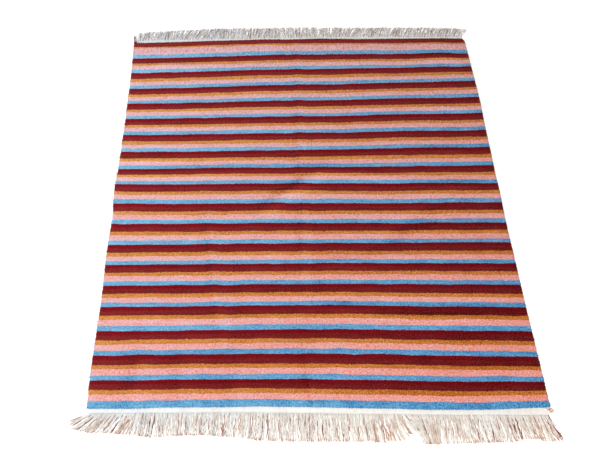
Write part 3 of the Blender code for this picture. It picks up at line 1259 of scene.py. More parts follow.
@dataclass
class PileField:
    """The knotted pile, from its cut tips down to the backs of its knots."""

    outline: Outline
    plan: StripePlan
    cell: float = 0.0076
    foot: float = 0.0012
    foot_tuck: float = 0.0006
    back_thickness: float = 0.0010
    back_inset: float = 0.0016
    back_cell: float = 0.012
    back_columns: int = 26
    seam_dip: float = 0.00035
    seam_reach: float = 0.003
    lump_height: float = 0.00042
    broad_lumps: Lump = Lump(0.6, 0.045, 3)
    fine_lumps: Lump = Lump(0.4, 0.017, 4)
    knots: Lump = Lump(0.00016, 0.0062, 5)
    tip_room: float = 0.0006

    def rim_steps(self) -> Array:
        """Distances from an edge at which the rounded rim has a line of points."""
        return self.outline.shoulder_radius * np.array([0.0, 0.08, 0.25, 0.5, 1.0])

    def rows(self) -> Array:
        """Rows from near to far, closer at both rims, with one on each change of wool.

        Returns:
            The rows.
        """
        near, far = self.plan.middle_edge(End.NEAR), self.plan.middle_edge(End.FAR)
        rim = self.rim_steps()
        seams = self.plan.boundaries()[-2:0:-1]
        marks = np.concatenate([[near + rim[-1]], seams[seams < far - 2.0 * rim[-1]], [far - rim[-1]]])
        inner = spaced(marks, self.cell)
        return np.concatenate([near + rim[:-1], inner, far - rim[-2::-1]])

    def columns(self) -> Array:
        """Distances from the left side, closer at both rims.

        Returns:
            The distances.
        """
        o = self.outline
        width = o.near_right.across - o.near_left.across
        rim = self.rim_steps()
        inner = spaced(np.array([rim[-1], width - rim[-1]]), self.cell)
        return np.concatenate([rim[:-1], inner, width - rim[-2::-1]])

    def grid(self, rows: Array, columns: Array, inset: float) -> tuple[Array, Array, Array, Array]:
        """Places of a grid of rows and columns, with the outline's rounded corners.

        A place across is between the left and the right side's lines, each pulled in where a
        corner is cut. A place along is what the stripe plan says.

        Args:
            rows: The rows.
            columns: Distances from the left side.
            inset: How far the grid stays inside the outline.

        Returns:
            Places across and along, distances to the nearest edge, and UV pairs.
        """
        o = self.outline
        share = columns[None, :] / columns[-1]
        row = rows[:, None]
        down = self.plan.share_along(row)
        from_near = row - rows[0]
        from_far = rows[-1] - row
        near_cut = corner_cut(from_near, o.near_radius)
        left = o.left_line(down) + near_cut + corner_cut(from_far, o.far_left_radius) + inset
        right = o.right_line(down) - near_cut - corner_cut(from_far, o.far_right_radius) - inset
        across = between(left, right, share)
        along = self.plan.along(share, across, row)
        along = along + inset * (2.0 * (from_far / (from_near + from_far)) - 1.0)
        edge = np.minimum(columns, columns[-1] - columns)[None, :]
        edge = np.minimum(np.minimum(edge, from_near), from_far)
        return across, along, edge, stacked(across, self.plan.pattern(row))

    def surface(self, across: Array, along: Array, rows: Array, edge: Array) -> Array:
        """Height of the pile, below the very tips of its tufts.

        Height is pile height + relief + lumps + knots - dip at a change of wool - the tufts' room,
        less the rounded rim's cut.

        Args:
            across: Places across.
            along: Places along.
            rows: Their rows, as a column.
            edge: Their distances to the nearest edge.

        Returns:
            The heights.
        """
        lumps = self.broad_lumps.over(across, along) + self.fine_lumps.over(across, along)
        seams = self.plan.boundaries()[1:-1]
        off_seam = np.abs(rows[:, None] - seams[None, :]).min(axis=1)
        dip = self.seam_dip * np.exp(-((off_seam / self.seam_reach) ** 2))[:, None]
        height = self.outline.pile_height - self.tip_room + relief(across, along)
        height = height + self.lump_height * lumps + self.knots.over(across, along) - dip
        return height - corner_cut(edge, self.outline.shoulder_radius)

    def pile(self) -> Shell:
        """The pile as one closed slab, with its painted slope shade at every point of its top.

        Returns:
            The slab.
        """
        rows, columns = self.rows(), self.columns()
        across, along, edge, uv = self.grid(rows, columns, 0.0)
        height = self.surface(across, along, rows, edge)
        shell = skirted(stacked(across, along, height), uv, self.foot, self.foot_tuck)
        # Painted light and shade of the relief's slopes, lighter where they face the painted light.
        fall = np.zeros(len(shell.points))
        fall[: across.size] = nap(across, along).ravel()
        return shell.toned(nap=fall)

    def back(self) -> Shell:
        """The backs of the knots: a thin slab under the pile that shows the stripes below.

        Returns:
            The slab.
        """
        rows = spaced(self.plan.boundaries()[::-1], self.back_cell)
        columns = np.linspace(0.0, self.columns()[-1], self.back_columns)
        across, along, _, uv = self.grid(rows, columns, self.back_inset)
        size = across.size
        index = np.arange(size).reshape(across.shape)
        up = grid_quads(index)
        rim = grid_rim(index)
        turned = np.roll(rim, -1)
        walls = stacked(rim, rim + size, turned + size, turned)
        faces = np.concatenate([up, up[:, ::-1] + size, walls])
        heights = (self.back_thickness, 0.0)
        points = np.concatenate([stacked(across, along, height).reshape(-1, 3) for height in heights])
        point_uv = np.concatenate([uv.reshape(-1, 2)] * 2)
        return Shell(points, faces.tolist(), point_uv[faces.ravel()], {})

    def build(self, effects: Effects) -> list[bpy.types.Object]:
        """Makes the pile and the backs of its knots.

        Args:
            effects: The shared node groups.

        Returns:
            Both pieces, the pile first.
        """
        pile = self.pile().make("pile_field", "Weave", CUT_PILE.material(effects))
        back = self.back().make("knotted_back", "Weave", KNOT_BACKS.material(effects))
        return [pile, back]


@dataclass
class PileTufts:
    """The cut ends of the knots over the whole field, one small leaning point for every few knots."""

    field: PileField
    repeat_length: float = 0.0838
    pitch: float = 0.0053
    rim_share: float = 0.6
    jitter: float = 0.42
    radius: float = 0.0036
    radius_play: tuple[float, float] = (0.8, 1.15)
    sink: float = 0.0008
    rise: float = 0.0014
    rise_play: tuple[float, float] = (0.45, 1.1)
    lean: float = 0.0011
    own_place: float = 0.75
    seed: int = 61

    def roots(self) -> tuple[Array, Array, Array]:
        """Where the tufts stand: a brick pattern of the pitch, each off its place at random.

        Returns:
            The roots, their UV pairs, and the painted slope shade at each.
        """
        draw = np.random.default_rng(self.seed)
        rim = self.field.outline.shoulder_radius * self.rim_share
        ends, width = self.field.rows()[[0, -1]], self.field.columns()[-1]
        rows = np.arange(ends[0] + rim, ends[1] - rim, self.pitch)
        columns = np.arange(rim, width - rim, self.pitch)
        all_rows = np.concatenate([ends[:1], rows, ends[1:]])
        all_columns = np.concatenate([[0.0], columns, [width]])
        grid = self.field.grid(all_rows, all_columns, 0.0)
        across, along, edge, uv = (part[1:-1, 1:-1] for part in grid)
        shift = self.jitter * self.pitch * draw.uniform(-1.0, 1.0, (2, *across.shape))
        shift[0] += 0.5 * self.pitch * (np.arange(len(rows)) % 2 - 0.5)[:, None]
        height = self.field.surface(across, along, rows, edge)
        pair = stacked(uv[..., 0] + shift[0], uv[..., 1] - shift[1] / self.repeat_length)
        across, along = across + shift[0], along + shift[1]
        root = stacked(across, along, height).reshape(-1, 3)
        return root, pair.reshape(-1, 2), nap(across, along).ravel()

    def shells(self, parts: int) -> list[Shell]:
        """The tufts as four-faced points, shared out among a few meshes from near to far.

        A tuft's three foot points stand round its root at a random turn, below the surface. Its tip
        is above the root and off to a side by the lean.

        Args:
            parts: How many meshes.

        Returns:
            The meshes.
        """
        root, pair, fall = self.roots()
        draw = np.random.default_rng(self.seed + 1)
        count = len(root)
        turn = draw.uniform(0.0, 2.0 * math.pi, count)[:, None] + 2.0 * math.pi * np.arange(3) / 3.0
        foot = self.radius * draw.uniform(*self.radius_play, (count, 1))
        ring = stacked(foot * np.cos(turn), foot * np.sin(turn), -self.sink)
        lean = draw.normal(0.0, self.lean, (count, 2))
        rise = self.rise * draw.uniform(*self.rise_play, (count, 1))
        tip = np.concatenate([lean, rise], axis=-1)[:, None, :]
        points = root[:, None, :] + np.concatenate([ring, tip], axis=1)
        sides = np.array([[0, 1, 3], [1, 2, 3], [2, 0, 3], [2, 1, 0]])
        shells = []
        for share in np.array_split(np.arange(count), parts):
            faces = (4 * np.arange(len(share))[:, None, None] + sides).reshape(-1, 3)
            off = self.own_place * (points[share][..., :2] - root[share][:, None, :2])
            own = pair[share][:, None, :] + off * np.array([1.0, -1.0 / self.repeat_length])
            corner_uv = own[:, sides.ravel()].reshape(-1, 2)
            tones = {"nap": np.repeat(fall[share], 4)}
            shells.append(Shell(points[share].reshape(-1, 3), faces.tolist(), corner_uv, tones))
        return shells


@dataclass
class EndBand:
    """A flat-woven end: the foundation's cotton carried on past the pile.

    Its unevenness runs along the weft, so the stretches say how much finer it is along Y. Shade is
    painted shade: how much darker its tone is at the right end than in the middle.
    """

    outline: Outline
    end: End
    insets: tuple[float, float]
    length: float
    sways: tuple[Sway, ...]
    shade: float
    height: float = 0.0026
    crossing: float = 0.00165
    pick: float = 0.0009
    rib: float = 0.00028
    lumps: Lump = Lump(0.00022, 0.011, 17)
    lump_stretch: float = 6.0
    sag: float = 0.0010
    under_pile: float = 0.0008
    under_edge: float = 0.0015
    tone: float = 0.72
    tone_play: Lump = Lump(0.25, 0.006, 19)
    tone_stretch: float = 5.0

    def line(self, share: Array, beyond: Array) -> tuple[Array, Array]:
        """Places at a distance beyond the pile's edge, across and along.

        At the pile they follow its edge, at the band's length its own steadier sways, and past
        either they keep that line.

        Args:
            share: Shares of the way from left to right.
            beyond: Distances beyond the pile's edge.

        Returns:
            The places across, and the places along.
        """
        down = 0.0 if self.end is End.NEAR else 1.0
        left = self.outline.left_line(down) + self.insets[0]
        right = self.outline.right_line(down) - self.insets[1]
        across = between(left, right, share) + 0.0 * beyond
        out = self.end.value
        edge = self.outline.end_line(self.end, share)
        own = self.outline.plain_line(self.end, share) + swayed(self.sways, share) + out * self.length
        past = np.minimum(beyond, 0.0) + np.maximum(beyond - self.length, 0.0)
        along = between(edge, own, np.clip(beyond / self.length, 0.0, 1.0)) + out * past
        return across, along

    def shell(self) -> Shell:
        """The band: every point of its grid is a crossing of warp and weft.

        A crossing where the weft passes over is lifted, and the next one along either thread is
        lowered, so height is plain height + rib · (-1)^(row + column), and a little unevenness.

        Returns:
            The band, with its tone and dust.
        """
        width = self.outline.near_right.across - self.outline.near_left.across
        share = np.linspace(0.0, 1.0, int(width / self.crossing))[None, :]
        reach = self.length + self.under_edge
        beyond = np.linspace(-self.under_pile, reach, int(reach / self.pick))[:, None]
        if self.end is End.NEAR:
            beyond = beyond[::-1]
        across, along = self.line(share, beyond)
        row, column = np.indices(across.shape)
        over = np.where((row + column) % 2 == 0, 1.0, -1.0)
        lumps = self.lumps.over(across, along * self.lump_stretch)
        sag = self.sag * eased((beyond - self.length + self.under_pile) / (self.under_edge + self.under_pile))
        height = self.height - self.rib + self.rib * over + lumps - sag
        shell = skirted(stacked(across, along, height), stacked(across, beyond), 0.0)
        x, y = shell.points[:, 0], shell.points[:, 1]
        tone = self.tone + self.tone_play.over(x, y * self.tone_stretch)
        # Painted shade, darker towards the right.
        tone = tone - self.shade * np.clip(x / self.outline.near_right.across, 0.0, 1.0)
        return shell.toned(tone=tone, dust=0.0 * tone)


@dataclass
class TwinedEdge:
    """Two strands twisted round each other along the band's outer edge, holding the warps.

    Strand height is how far each swings up and down, as a share of the height, and strand fill is
    its thickness as a share of half its room.
    """

    band: EndBand
    parting: float = 0.0003
    width: float = 0.0046
    height: float = 0.0030
    pitch: float = 0.0104
    margin: float = 0.001
    slip: Lump = Lump(0.8, 0.05, 23)
    strand_height: float = 0.24
    strand_fill: float = 0.96
    flatness: float = 0.58
    stations_a_turn: int = 9
    sides: int = 6
    tone: float = 0.86
    tone_play: Lump = Lump(0.14, 0.008, 29)

    def shell(self) -> Shell:
        """The twined strands.

        Each runs along the edge's middle line, offset by (cos, sin) of an angle that grows by a
        full turn a pitch, and its partner is half a turn ahead.

        Returns:
            The strands, with their tone and dust.
        """
        length = self.band.outline.near_right.across - self.band.outline.near_left.across
        count = int(length / self.pitch) * self.stations_a_turn
        share = np.linspace(self.margin, 1.0 - self.margin, count)
        across, along = self.band.line(share, self.band.length + self.parting + 0.5 * self.width)
        angle = 2.0 * math.pi * across / self.pitch + self.slip.over(across, along)
        angles = angle + np.array([[0.0], [math.pi]])
        strand = 0.25 * self.width
        middle = self.height * (0.5 + self.strand_height * np.sin(angles))
        paths = stacked(across, along + strand * np.cos(angles), middle)
        radii = np.full((2, count), self.strand_fill * strand)
        shell = swept(paths, radii, self.sides, self.flatness)
        tone = self.tone + self.tone_play.over(shell.points[:, 0], shell.points[:, 1])
        return shell.toned(tone=tone, dust=0.0 * tone)


# ---- The fringe -----------------------------------------------------------------------------


class Lay(NamedTuple):
    """How a lock lies: its root, the sideways shift of its tip, its reach, and how late it bends."""

    across: float
    lean: float
    reach: float
    bend: float = 1.3


NEAR_LAY = table(
    Lay,
    (-0.745, -0.057, 0.010), (-0.735, -0.060, 0.018), (-0.725, -0.058, 0.030),
    (-0.716, -0.052, 0.040), (-0.698, -0.051, 0.046), (-0.662, -0.044, 0.047),
    (-0.624, -0.034, 0.050), (-0.600, -0.024, 0.053), (-0.580, -0.006, 0.056),
    (-0.530, 0.000, 0.064), (-0.480, 0.002, 0.060), (-0.380, 0.000, 0.057),
    (-0.300, -0.006, 0.061), (-0.240, -0.004, 0.064), (-0.190, -0.002, 0.074),
    (0.000, 0.002, 0.077), (0.100, 0.004, 0.076), (0.180, 0.012, 0.078),
    (0.215, 0.026, 0.074), (0.240, 0.030, 0.072, 1.4), (0.252, 0.034, 0.065, 1.4),
    (0.268, 0.034, 0.034, 1.3), (0.271, 0.055, 0.083, 0.95), (0.300, 0.040, 0.084, 0.95),
    (0.350, 0.014, 0.083), (0.410, 0.004, 0.081), (0.500, 0.008, 0.079),
    (0.600, 0.012, 0.077), (0.622, 0.014, 0.071), (0.650, 0.017, 0.067),
    (0.672, 0.019, 0.068), (0.692, 0.022, 0.073), (0.725, 0.028, 0.075),
    (0.750, 0.036, 0.063),
)
FAR_LAY = table(
    Lay,
    (-0.750, 0.002, 0.043), (-0.660, 0.010, 0.050), (-0.600, 0.006, 0.051),
    (-0.520, 0.024, 0.054), (-0.420, 0.020, 0.058), (-0.370, 0.004, 0.058),
    (-0.200, 0.010, 0.057), (-0.100, 0.000, 0.057), (0.100, 0.000, 0.054),
    (0.220, 0.026, 0.054), (0.420, 0.022, 0.053), (0.650, 0.030, 0.050),
    (0.700, 0.024, 0.046), (0.735, 0.030, 0.044),
)


class Stray(NamedTuple):
    """A yarn that lies its own way: its radius, the points of its route, and its outer part's dust."""

    radius: float
    route: tuple[tuple[float, float, float], ...]
    dust: float = 0.0


class Stain(NamedTuple):
    """A patch of tan yarns: its middle, its half width, and the dust at its middle."""

    across: float
    width: float
    dust: float


UPPER_DRAWS, DEEP_DRAWS = 100, 200  # what the seeds of the two kinds of yarn add to a fringe's own


@dataclass(frozen=True)
class YarnHabit:
    """How single yarns differ: the ranges of their random draws, and means with their spreads."""

    gather: tuple[float, float] = (0.1, 1.5)
    waves: tuple[float, float] = (0.7, 2.2)
    wander: tuple[float, float] = (0.3, 1.6)
    tip_mean: float = -0.3
    short_part: float = 0.05
    short_length: tuple[float, float] = (0.55, 0.9)
    tone: tuple[float, float] = (0.66, 0.36)
    # Painted shade in the gaps between the locks, carried by the deep yarns, for each lock and each yarn.
    lock_soil: float = 0.78
    yarn_soil: float = 0.2
    thickness: tuple[float, float] = (0.75, 1.2)
    dusty_part: float = 0.7
    tip_dust: float = 0.55
    stain_play: tuple[float, float] = (0.3, 1.3)


@dataclass
class Fringe:
    """The cut warps of one end, in locks of several yarns each.

    Root heights are shares of the edging's height, the rest height is in yarn radii, and the deep
    yarns' thickness is a share of the upper yarns'.
    """

    edge: TwinedEdge
    lays: tuple[Lay, ...]
    seed: int
    gather: float
    reach_play: float
    tip_play: float
    turn_play: float = 0.0050
    strays: tuple[Stray, ...] = ()
    stains: tuple[Stain, ...] = ()
    tips_from: float = 0.0248
    locks: int = 120
    yarns: int = 7
    deep_yarns: int = 4
    deep_spread: float = 0.50
    stations: int = 12
    sides: int = 5
    radius: float = 0.00112
    wander: float = 0.0017
    spread: float = 0.055
    habit: YarnHabit = YarnHabit()
    crown: float = 0.0030
    crown_foot: float = 0.0002
    root_height: float = 0.66
    deep_root_height: float = 0.35
    rest_height: float = 1.15
    deep_thickness: float = 0.85
    flatness: float = 0.85
    stain_ring: int = 4  # the ring whose place decides how stained a yarn is
    stray_stations: int = 30
    stray_tone: float = 0.85

    def ring_shares(self) -> Array:
        """Shares of a yarn's length at which it has a ring: even, but for short end steps."""
        return np.concatenate([[0.0, 0.012], np.linspace(0.10, 0.985, self.stations - 3), [1.0]])

    def lock_plan(self) -> tuple[Array, Array, Array, Array, Array]:
        """Roots, leans, runs and bends of the locks, as in the solids.

        A lock's root stands in the middle of its own cell of the edging. Its lean, reach and bend
        are read between the rows of the lay table, and its reach, which counts from the pile's
        plain line and the tips' own start, differs a little at random.

        Returns:
            Roots across, roots along, leans, runs along and bends.
        """
        draws = np.random.default_rng(self.seed).random((self.locks, 2))
        share = (2.0 * np.arange(self.locks) + 1.5) / (2 * self.locks + 1)
        band = self.edge.band
        across, along = band.line(share, band.length + self.edge.parting + 0.70 * self.edge.width)
        places, *columns = np.array(self.lays).T
        lean, reach, bend = (np.interp(across, places, column) for column in columns)
        reach = self.tips_from + reach * (1.0 + self.reach_play * (2.0 * draws[:, 0] - 1.0))
        tips = band.outline.plain_line(band.end, share) + band.end.value * reach
        return across, along, lean, tips - along, bend

    def yarn_shell(self, yarns: int, deep: bool, seed: int) -> Shell:
        """Yarns of every lock.

        Their rings are even but for a short first and last step, which keep the shading of the
        cut ends off the yarn. From roots spread evenly over the lock's cell they draw together by
        the gather share of the way, wave to and fro, and open again at their tips. Sideways shift
        is lean · s^bend + root offset · (1 - gather · ease(s)) + wander · sine, and height arches
        from the edging down to the floor.

        Args:
            yarns: Yarns in each lock.
            deep: Whether they lie against the floor, in the gaps between the locks.
            seed: Seed of the draws.

        Returns:
            The yarns, with their tones.
        """
        draw = np.random.default_rng(seed)
        habit = self.habit
        root, line, lean, run, bend = (values[:, None] for values in self.lock_plan())
        shape = (self.locks, yarns)
        cell = float(np.mean(np.diff(root[:, 0])))
        offset = (np.arange(yarns) + 0.5) / yarns - 0.5 + draw.uniform(-0.5, 0.5, shape) / yarns
        lock_gather = self.gather * draw.uniform(*habit.gather, (self.locks, 1))
        if deep:
            offset = 0.5 + self.deep_spread * offset
            lock_gather = 0.0 * lock_gather
        lock_turn = draw.normal(0.0, self.turn_play, (self.locks, 1))
        tip_spread = draw.normal(0.0, self.spread, shape)
        phase = draw.uniform(0.0, 2.0 * math.pi, shape)[..., None]
        waves = draw.uniform(*habit.waves, shape)[..., None]
        wander = self.wander * draw.uniform(*habit.wander, shape)[..., None]
        length = 1.0 + draw.normal(habit.tip_mean * self.tip_play, self.tip_play, shape)
        short = draw.random(shape) < habit.short_part
        length = np.where(short, length * draw.uniform(*habit.short_length, shape), length)
        layer = draw.random(shape)[..., None]
        tone = np.clip(draw.normal(*habit.tone, shape), 0.0, 1.0)
        # The deep yarns' darkening is painted shade in the gaps between the locks.
        soil = draw.uniform(0.0, habit.lock_soil, (self.locks, 1))
        soil = soil + draw.uniform(-habit.yarn_soil, habit.yarn_soil, shape)

        # The locks close over the first 0.42 of the way, and open again by three quarters past 0.6.
        s = self.ring_shares()
        way = length[..., None] * s
        closing = eased(way / 0.42) - 0.75 * eased((way - 0.6) / 0.4)
        side = offset[..., None] * cell * (1.0 - lock_gather[..., None] * closing)
        wave = np.sin(phase + 2.0 * math.pi * waves * way) - np.sin(phase)
        across = root[..., None] + (lean + lock_turn)[..., None] * way ** bend[..., None] + side
        across = across + wander * wave * eased(way / 0.3)
        across = across + (tip_spread * np.abs(run))[..., None] * way**2
        along = line[..., None] + run[..., None] * way
        along = along + 0.4 * wander * np.cos(phase + 5.0 * way) * way
        crown = self.crown_foot + (0.0 if deep else 1.0) * self.crown * layer
        start = (self.deep_root_height if deep else self.root_height) * self.edge.height
        height = between(start, self.rest_height * self.radius, eased(way / 0.8))
        height = height + crown * np.sin(math.pi * np.clip(way, 0.0, 1.0)) ** 1.4
        paths = stacked(across, along, height).reshape(-1, self.stations, 3)
        thickness = self.radius * (self.deep_thickness if deep else 1.0)
        thickness = thickness * draw.uniform(*habit.thickness, (len(paths), 1))
        # Yarns thin out over their last fifth, and their hidden first ring is drawn in.
        taper = 1.0 - 0.45 * eased((s - 0.8) / 0.2) - 0.6 * (s == 0.0)
        shell = swept(paths, thickness * taper, self.sides, self.flatness)
        dust = np.clip(soil, 0.0, 1.0).reshape(-1, 1) if deep else self.tip_and_stain_dust(paths, draw)
        dust = np.broadcast_to(dust, paths.shape[:2]).repeat(self.sides, axis=1)
        tones = np.repeat(tone.ravel(), self.stations * self.sides)
        return shell.toned(tone=tones, dust=dust.ravel())

    def tip_and_stain_dust(self, paths: Array, draw: np.random.Generator) -> Array:
        """Darkening of the upper yarns: on the cut tips of some, and dust over each stain's tan patch.

        A stain's dust falls off as exp(-(way off its middle / half width)²), from the edging
        outwards it sets in gently, and the stronger of tip and stain counts.

        Args:
            paths: The yarns' paths.
            draw: The yarns' own random draws.

        Returns:
            The darkening of each yarn at each of its rings.
        """
        s = self.ring_shares()
        dirty = draw.random(len(paths)) * (draw.random(len(paths)) < self.habit.dusty_part)
        dust = self.habit.tip_dust * dirty[:, None] * eased((s - 0.9) / 0.1)
        for stain in self.stains:
            off = (paths[:, self.stain_ring, 0] - stain.across) / stain.width
            near_it = np.exp(-(off**2))
            worn = stain.dust * near_it * draw.uniform(*self.habit.stain_play, len(paths))
            dust = np.maximum(dust, worn[:, None] * eased((s - 0.15) / 0.4))
        return dust

    def stray_shells(self) -> list[Shell]:
        """The yarns that lie their own way, each swept along its own route.

        Returns:
            One mesh for each.
        """
        shells = []
        for stray in self.strays:
            path = smooth_route(np.array(stray.route), self.stray_stations)
            s = np.linspace(0.0, 1.0, self.stray_stations)
            radii = stray.radius * (1.0 - 0.4 * eased((s - 0.8) / 0.2))
            shell = swept(path[None], radii[None], self.sides)
            dust = np.repeat(stray.dust * eased((s - 0.2) / 0.3), self.sides)
            shells.append(shell.toned(tone=np.full(len(shell.points), self.stray_tone), dust=dust))
        return shells

    def shell(self) -> Shell:
        """All the yarns of this end as one mesh.

        Returns:
            The mesh.
        """
        upper = self.yarn_shell(self.yarns, False, self.seed + UPPER_DRAWS)
        deep = self.yarn_shell(self.deep_yarns, True, self.seed + DEEP_DRAWS)
        return joined([upper, deep, *self.stray_shells()])


NEAR_STRAYS = (
    Stray(0.0011, ((0.232, -0.835, 0.002), (0.246, -0.858, 0.004), (0.262, -0.880, 0.003),
                   (0.262, -0.897, 0.0015), (0.252, -0.899, 0.0013), (0.247, -0.893, 0.0013))),
    Stray(0.0015, ((0.266, -0.832, 0.002), (0.286, -0.852, 0.005), (0.312, -0.874, 0.0045),
                   (0.330, -0.899, 0.002), (0.333, -0.908, 0.0017))),
    Stray(0.0014, ((0.270, -0.832, 0.002), (0.291, -0.850, 0.005), (0.318, -0.871, 0.0045),
                   (0.337, -0.896, 0.002), (0.342, -0.905, 0.0016))),
    Stray(0.0013, ((0.752, -0.846, 0.002), (0.758, -0.862, 0.004), (0.764, -0.870, 0.004),
                   (0.777, -0.876, 0.003), (0.786, -0.888, 0.002), (0.780, -0.898, 0.0015),
                   (0.768, -0.902, 0.0015))),
    Stray(0.0013, ((0.746, -0.846, 0.002), (0.757, -0.868, 0.004), (0.768, -0.884, 0.003),
                   (0.779, -0.892, 0.002), (0.787, -0.893, 0.0015))),
    Stray(0.0017, ((0.738, -0.806, 0.002), (0.750, -0.811, 0.004), (0.7600, -0.815, 0.0045),
                   (0.7650, -0.820, 0.003), (0.7620, -0.825, 0.0017)), 0.42),
    Stray(0.0016, ((0.736, -0.808, 0.002), (0.748, -0.814, 0.004), (0.7560, -0.818, 0.004),
                   (0.7600, -0.827, 0.0017)), 0.55),
    Stray(0.0014, ((0.736, -0.812, 0.002), (0.746, -0.817, 0.004), (0.7540, -0.822, 0.003),
                   (0.7520, -0.830, 0.0017)), 0.30),
    Stray(0.0013, ((-0.738, -0.784, 0.002), (-0.756, -0.788, 0.004), (-0.776, -0.795, 0.003),
                   (-0.794, -0.801, 0.0016)), 0.75),
    Stray(0.0013, ((-0.738, -0.787, 0.002), (-0.757, -0.794, 0.004), (-0.774, -0.800, 0.003),
                   (-0.790, -0.807, 0.0016)), 0.60),
    Stray(0.0012, ((-0.737, -0.790, 0.002), (-0.755, -0.800, 0.004), (-0.770, -0.809, 0.003),
                   (-0.784, -0.815, 0.0016)), 0.50),
    Stray(0.0013, ((-0.092, -0.842, 0.004), (-0.087, -0.833, 0.0055), (-0.079, -0.824, 0.006),
                   (-0.069, -0.8225, 0.006), (-0.061, -0.826, 0.0055), (-0.057, -0.838, 0.004))),
    Stray(0.0012, ((-0.628, -0.792, 0.002), (-0.642, -0.818, 0.004), (-0.655, -0.842, 0.003),
                   (-0.668, -0.862, 0.0015))),
)
FAR_STRAYS = (
    Stray(0.0022, ((-0.748, 0.786, 0.003), (-0.758, 0.796, 0.005), (-0.764, 0.811, 0.004),
                   (-0.767, 0.827, 0.0018)), 0.95),
    Stray(0.0019, ((-0.747, 0.790, 0.003), (-0.755, 0.802, 0.005), (-0.759, 0.817, 0.004),
                   (-0.760, 0.830, 0.0018)), 0.80),
)
NEAR_STAINS = table(
    Stain,
    (-0.690, 0.010, 0.20), (-0.610, 0.012, 0.22), (0.172, 0.005, 0.26),
    (0.208, 0.010, 0.30), (0.232, 0.006, 0.20), (0.266, 0.005, 0.26),
    (0.356, 0.014, 0.12), (0.700, 0.010, 0.18), (0.742, 0.009, 0.16),
)


# ---- Loose wool round the pile's rim ----------------------------------------------------------

FIRST_ROW, LAST_ROW, CORNER_ROW = 0.002, len(REPEATS) - 0.05, 0.05  # their places in the pattern


@dataclass
class RimTufts:
    """Ends of pile that hang over the four edges and soften them."""

    field: PileField
    pitch: float = 0.0040
    radius: float = 0.0015
    length: float = 0.0036
    length_play: tuple[float, float] = (0.6, 1.15)
    levels: tuple[tuple[float, float], ...] = ((0.0030, 0.0003), (0.0050, 0.0006), (0.0068, 0.0016))
    corner_gap: float = 0.002
    upward: float = 0.1
    heading_play: float = 0.35
    droop: float = 0.0004
    corner_length: float = 0.0170
    corner_thickness: float = 1.3
    corner_tufts: int = 16
    corner_reach: tuple[float, float] = (-0.001, 0.005)
    corner_level: float = 0.003
    corner_heading: tuple[float, float, float] = (-0.35, 1.0, 0.0)
    rings: tuple[float, float, float] = (-0.35, 0.35, 1.0)
    taper: tuple[float, float, float] = (1.0, 0.95, 0.35)
    radius_play: tuple[float, float] = (0.8, 1.2)
    floor_gap: float = 0.0003
    seed: int = 41

    def shell(self) -> Shell:
        """Rows of short tapered tufts that stand out of the rim and droop.

        They stand at a few levels, each a height and how far it is drawn in from the edge. A tuft
        starts inside the rim and runs outwards and a little up or down by its own draw. A few long
        ends of wool hang out at the far left corner.

        Returns:
            The tufts as one mesh.
        """
        draw = np.random.default_rng(self.seed)
        plan, outline = self.field.plan, self.field.outline
        rows = self.field.rows()
        columns = self.field.columns()
        gap = self.corner_gap
        middle_rows = np.arange(rows[0] + gap, rows[-1] - gap, self.pitch)
        middle_columns = np.arange(gap, columns[-1] - gap, self.pitch)
        found: list[tuple[Array, tuple[float, float, float], Array]] = []
        for level, inset in self.levels:
            for side in (0, 1):
                lines = middle_rows + draw.uniform(-0.5, 0.5, middle_rows.shape) * self.pitch
                grid = self.field.grid(np.concatenate([[rows[0]], lines, [rows[-1]]]), columns, inset)
                across, along, _, uv = (part[1:-1, -side] for part in grid)
                outward = (1.0 if side else -1.0, 0.0, self.upward)
                found.append((stacked(across, along, level), outward, uv))
            for end in End:
                places = middle_columns + draw.uniform(-0.5, 0.5, middle_columns.shape) * self.pitch
                row = rows[:1] if end is End.NEAR else rows[-1:]
                line = np.concatenate([[0.0], places, [columns[-1]]])
                share = line / columns[-1]
                down = plan.share_along(row)
                across = between(outline.left_line(down), outline.right_line(down), share)[1:-1]
                along = outline.end_line(end, share)[1:-1] - end.value * inset
                pattern = FIRST_ROW if end is End.FAR else LAST_ROW
                outward = (0.0, end.value, self.upward)
                found.append((stacked(across, along, level), outward, stacked(across, pattern)))
        corner = outline.far_left
        spread = np.linspace(*self.corner_reach, self.corner_tufts)
        root = stacked(corner.across + spread, corner.along - gap, self.corner_level + 0.2 * spread)
        found.append((root, self.corner_heading, stacked(corner.across + spread, CORNER_ROW)))
        heading = np.concatenate([np.broadcast_to(way, root.shape) for root, way, _ in found])
        root, uv = (np.concatenate([group[part] for group in found]) for part in (0, 2))
        heading = heading + draw.normal(0.0, self.heading_play, heading.shape)
        heading /= np.linalg.norm(heading, axis=1, keepdims=True)
        length = self.length * draw.uniform(*self.length_play, (len(root), 1))
        length[-self.corner_tufts :] *= self.corner_length / self.length
        steps = np.array(self.rings)[None, :, None]
        paths = root[:, None, :] + steps * (heading * length)[:, None, :]
        paths[:, 2, 2] -= self.droop
        radii = self.radius * draw.uniform(*self.radius_play, (len(root), 1)) * np.array(self.taper)
        radii[-self.corner_tufts :] *= self.corner_thickness
        shell = swept(paths, radii, 3)
        shell.points[:, 2] = np.maximum(shell.points[:, 2], self.floor_gap)
        per_tuft = len(shell.points) // len(uv)
        return Shell(shell.points, shell.faces, uv[face_corners(shell.faces) // per_tuft], {})


# ---- The studio -----------------------------------------------------------------------------


@dataclass(frozen=True)
class Lamp:
    """A square soft light: where it hangs, its size, its colour, and its power in watts."""

    name: str
    place: tuple[float, float, float]
    aim: tuple[float, float, float]
    size: float
    colour: tuple[float, float, float]
    power: float

    def build(self) -> None:
        """Hangs the lamp and turns it to its aim."""
        data = bpy.data.lights.new(self.name, "AREA")
        data.size = self.size
        data.color = self.colour
        data.energy = self.power
        lamp = placed(self.name, data)
        lamp.location = self.place
        lamp.visible_camera = False
        lamp.rotation_euler = (Vector(self.aim) - Vector(self.place)).to_track_quat("-Z", "Y").to_euler()


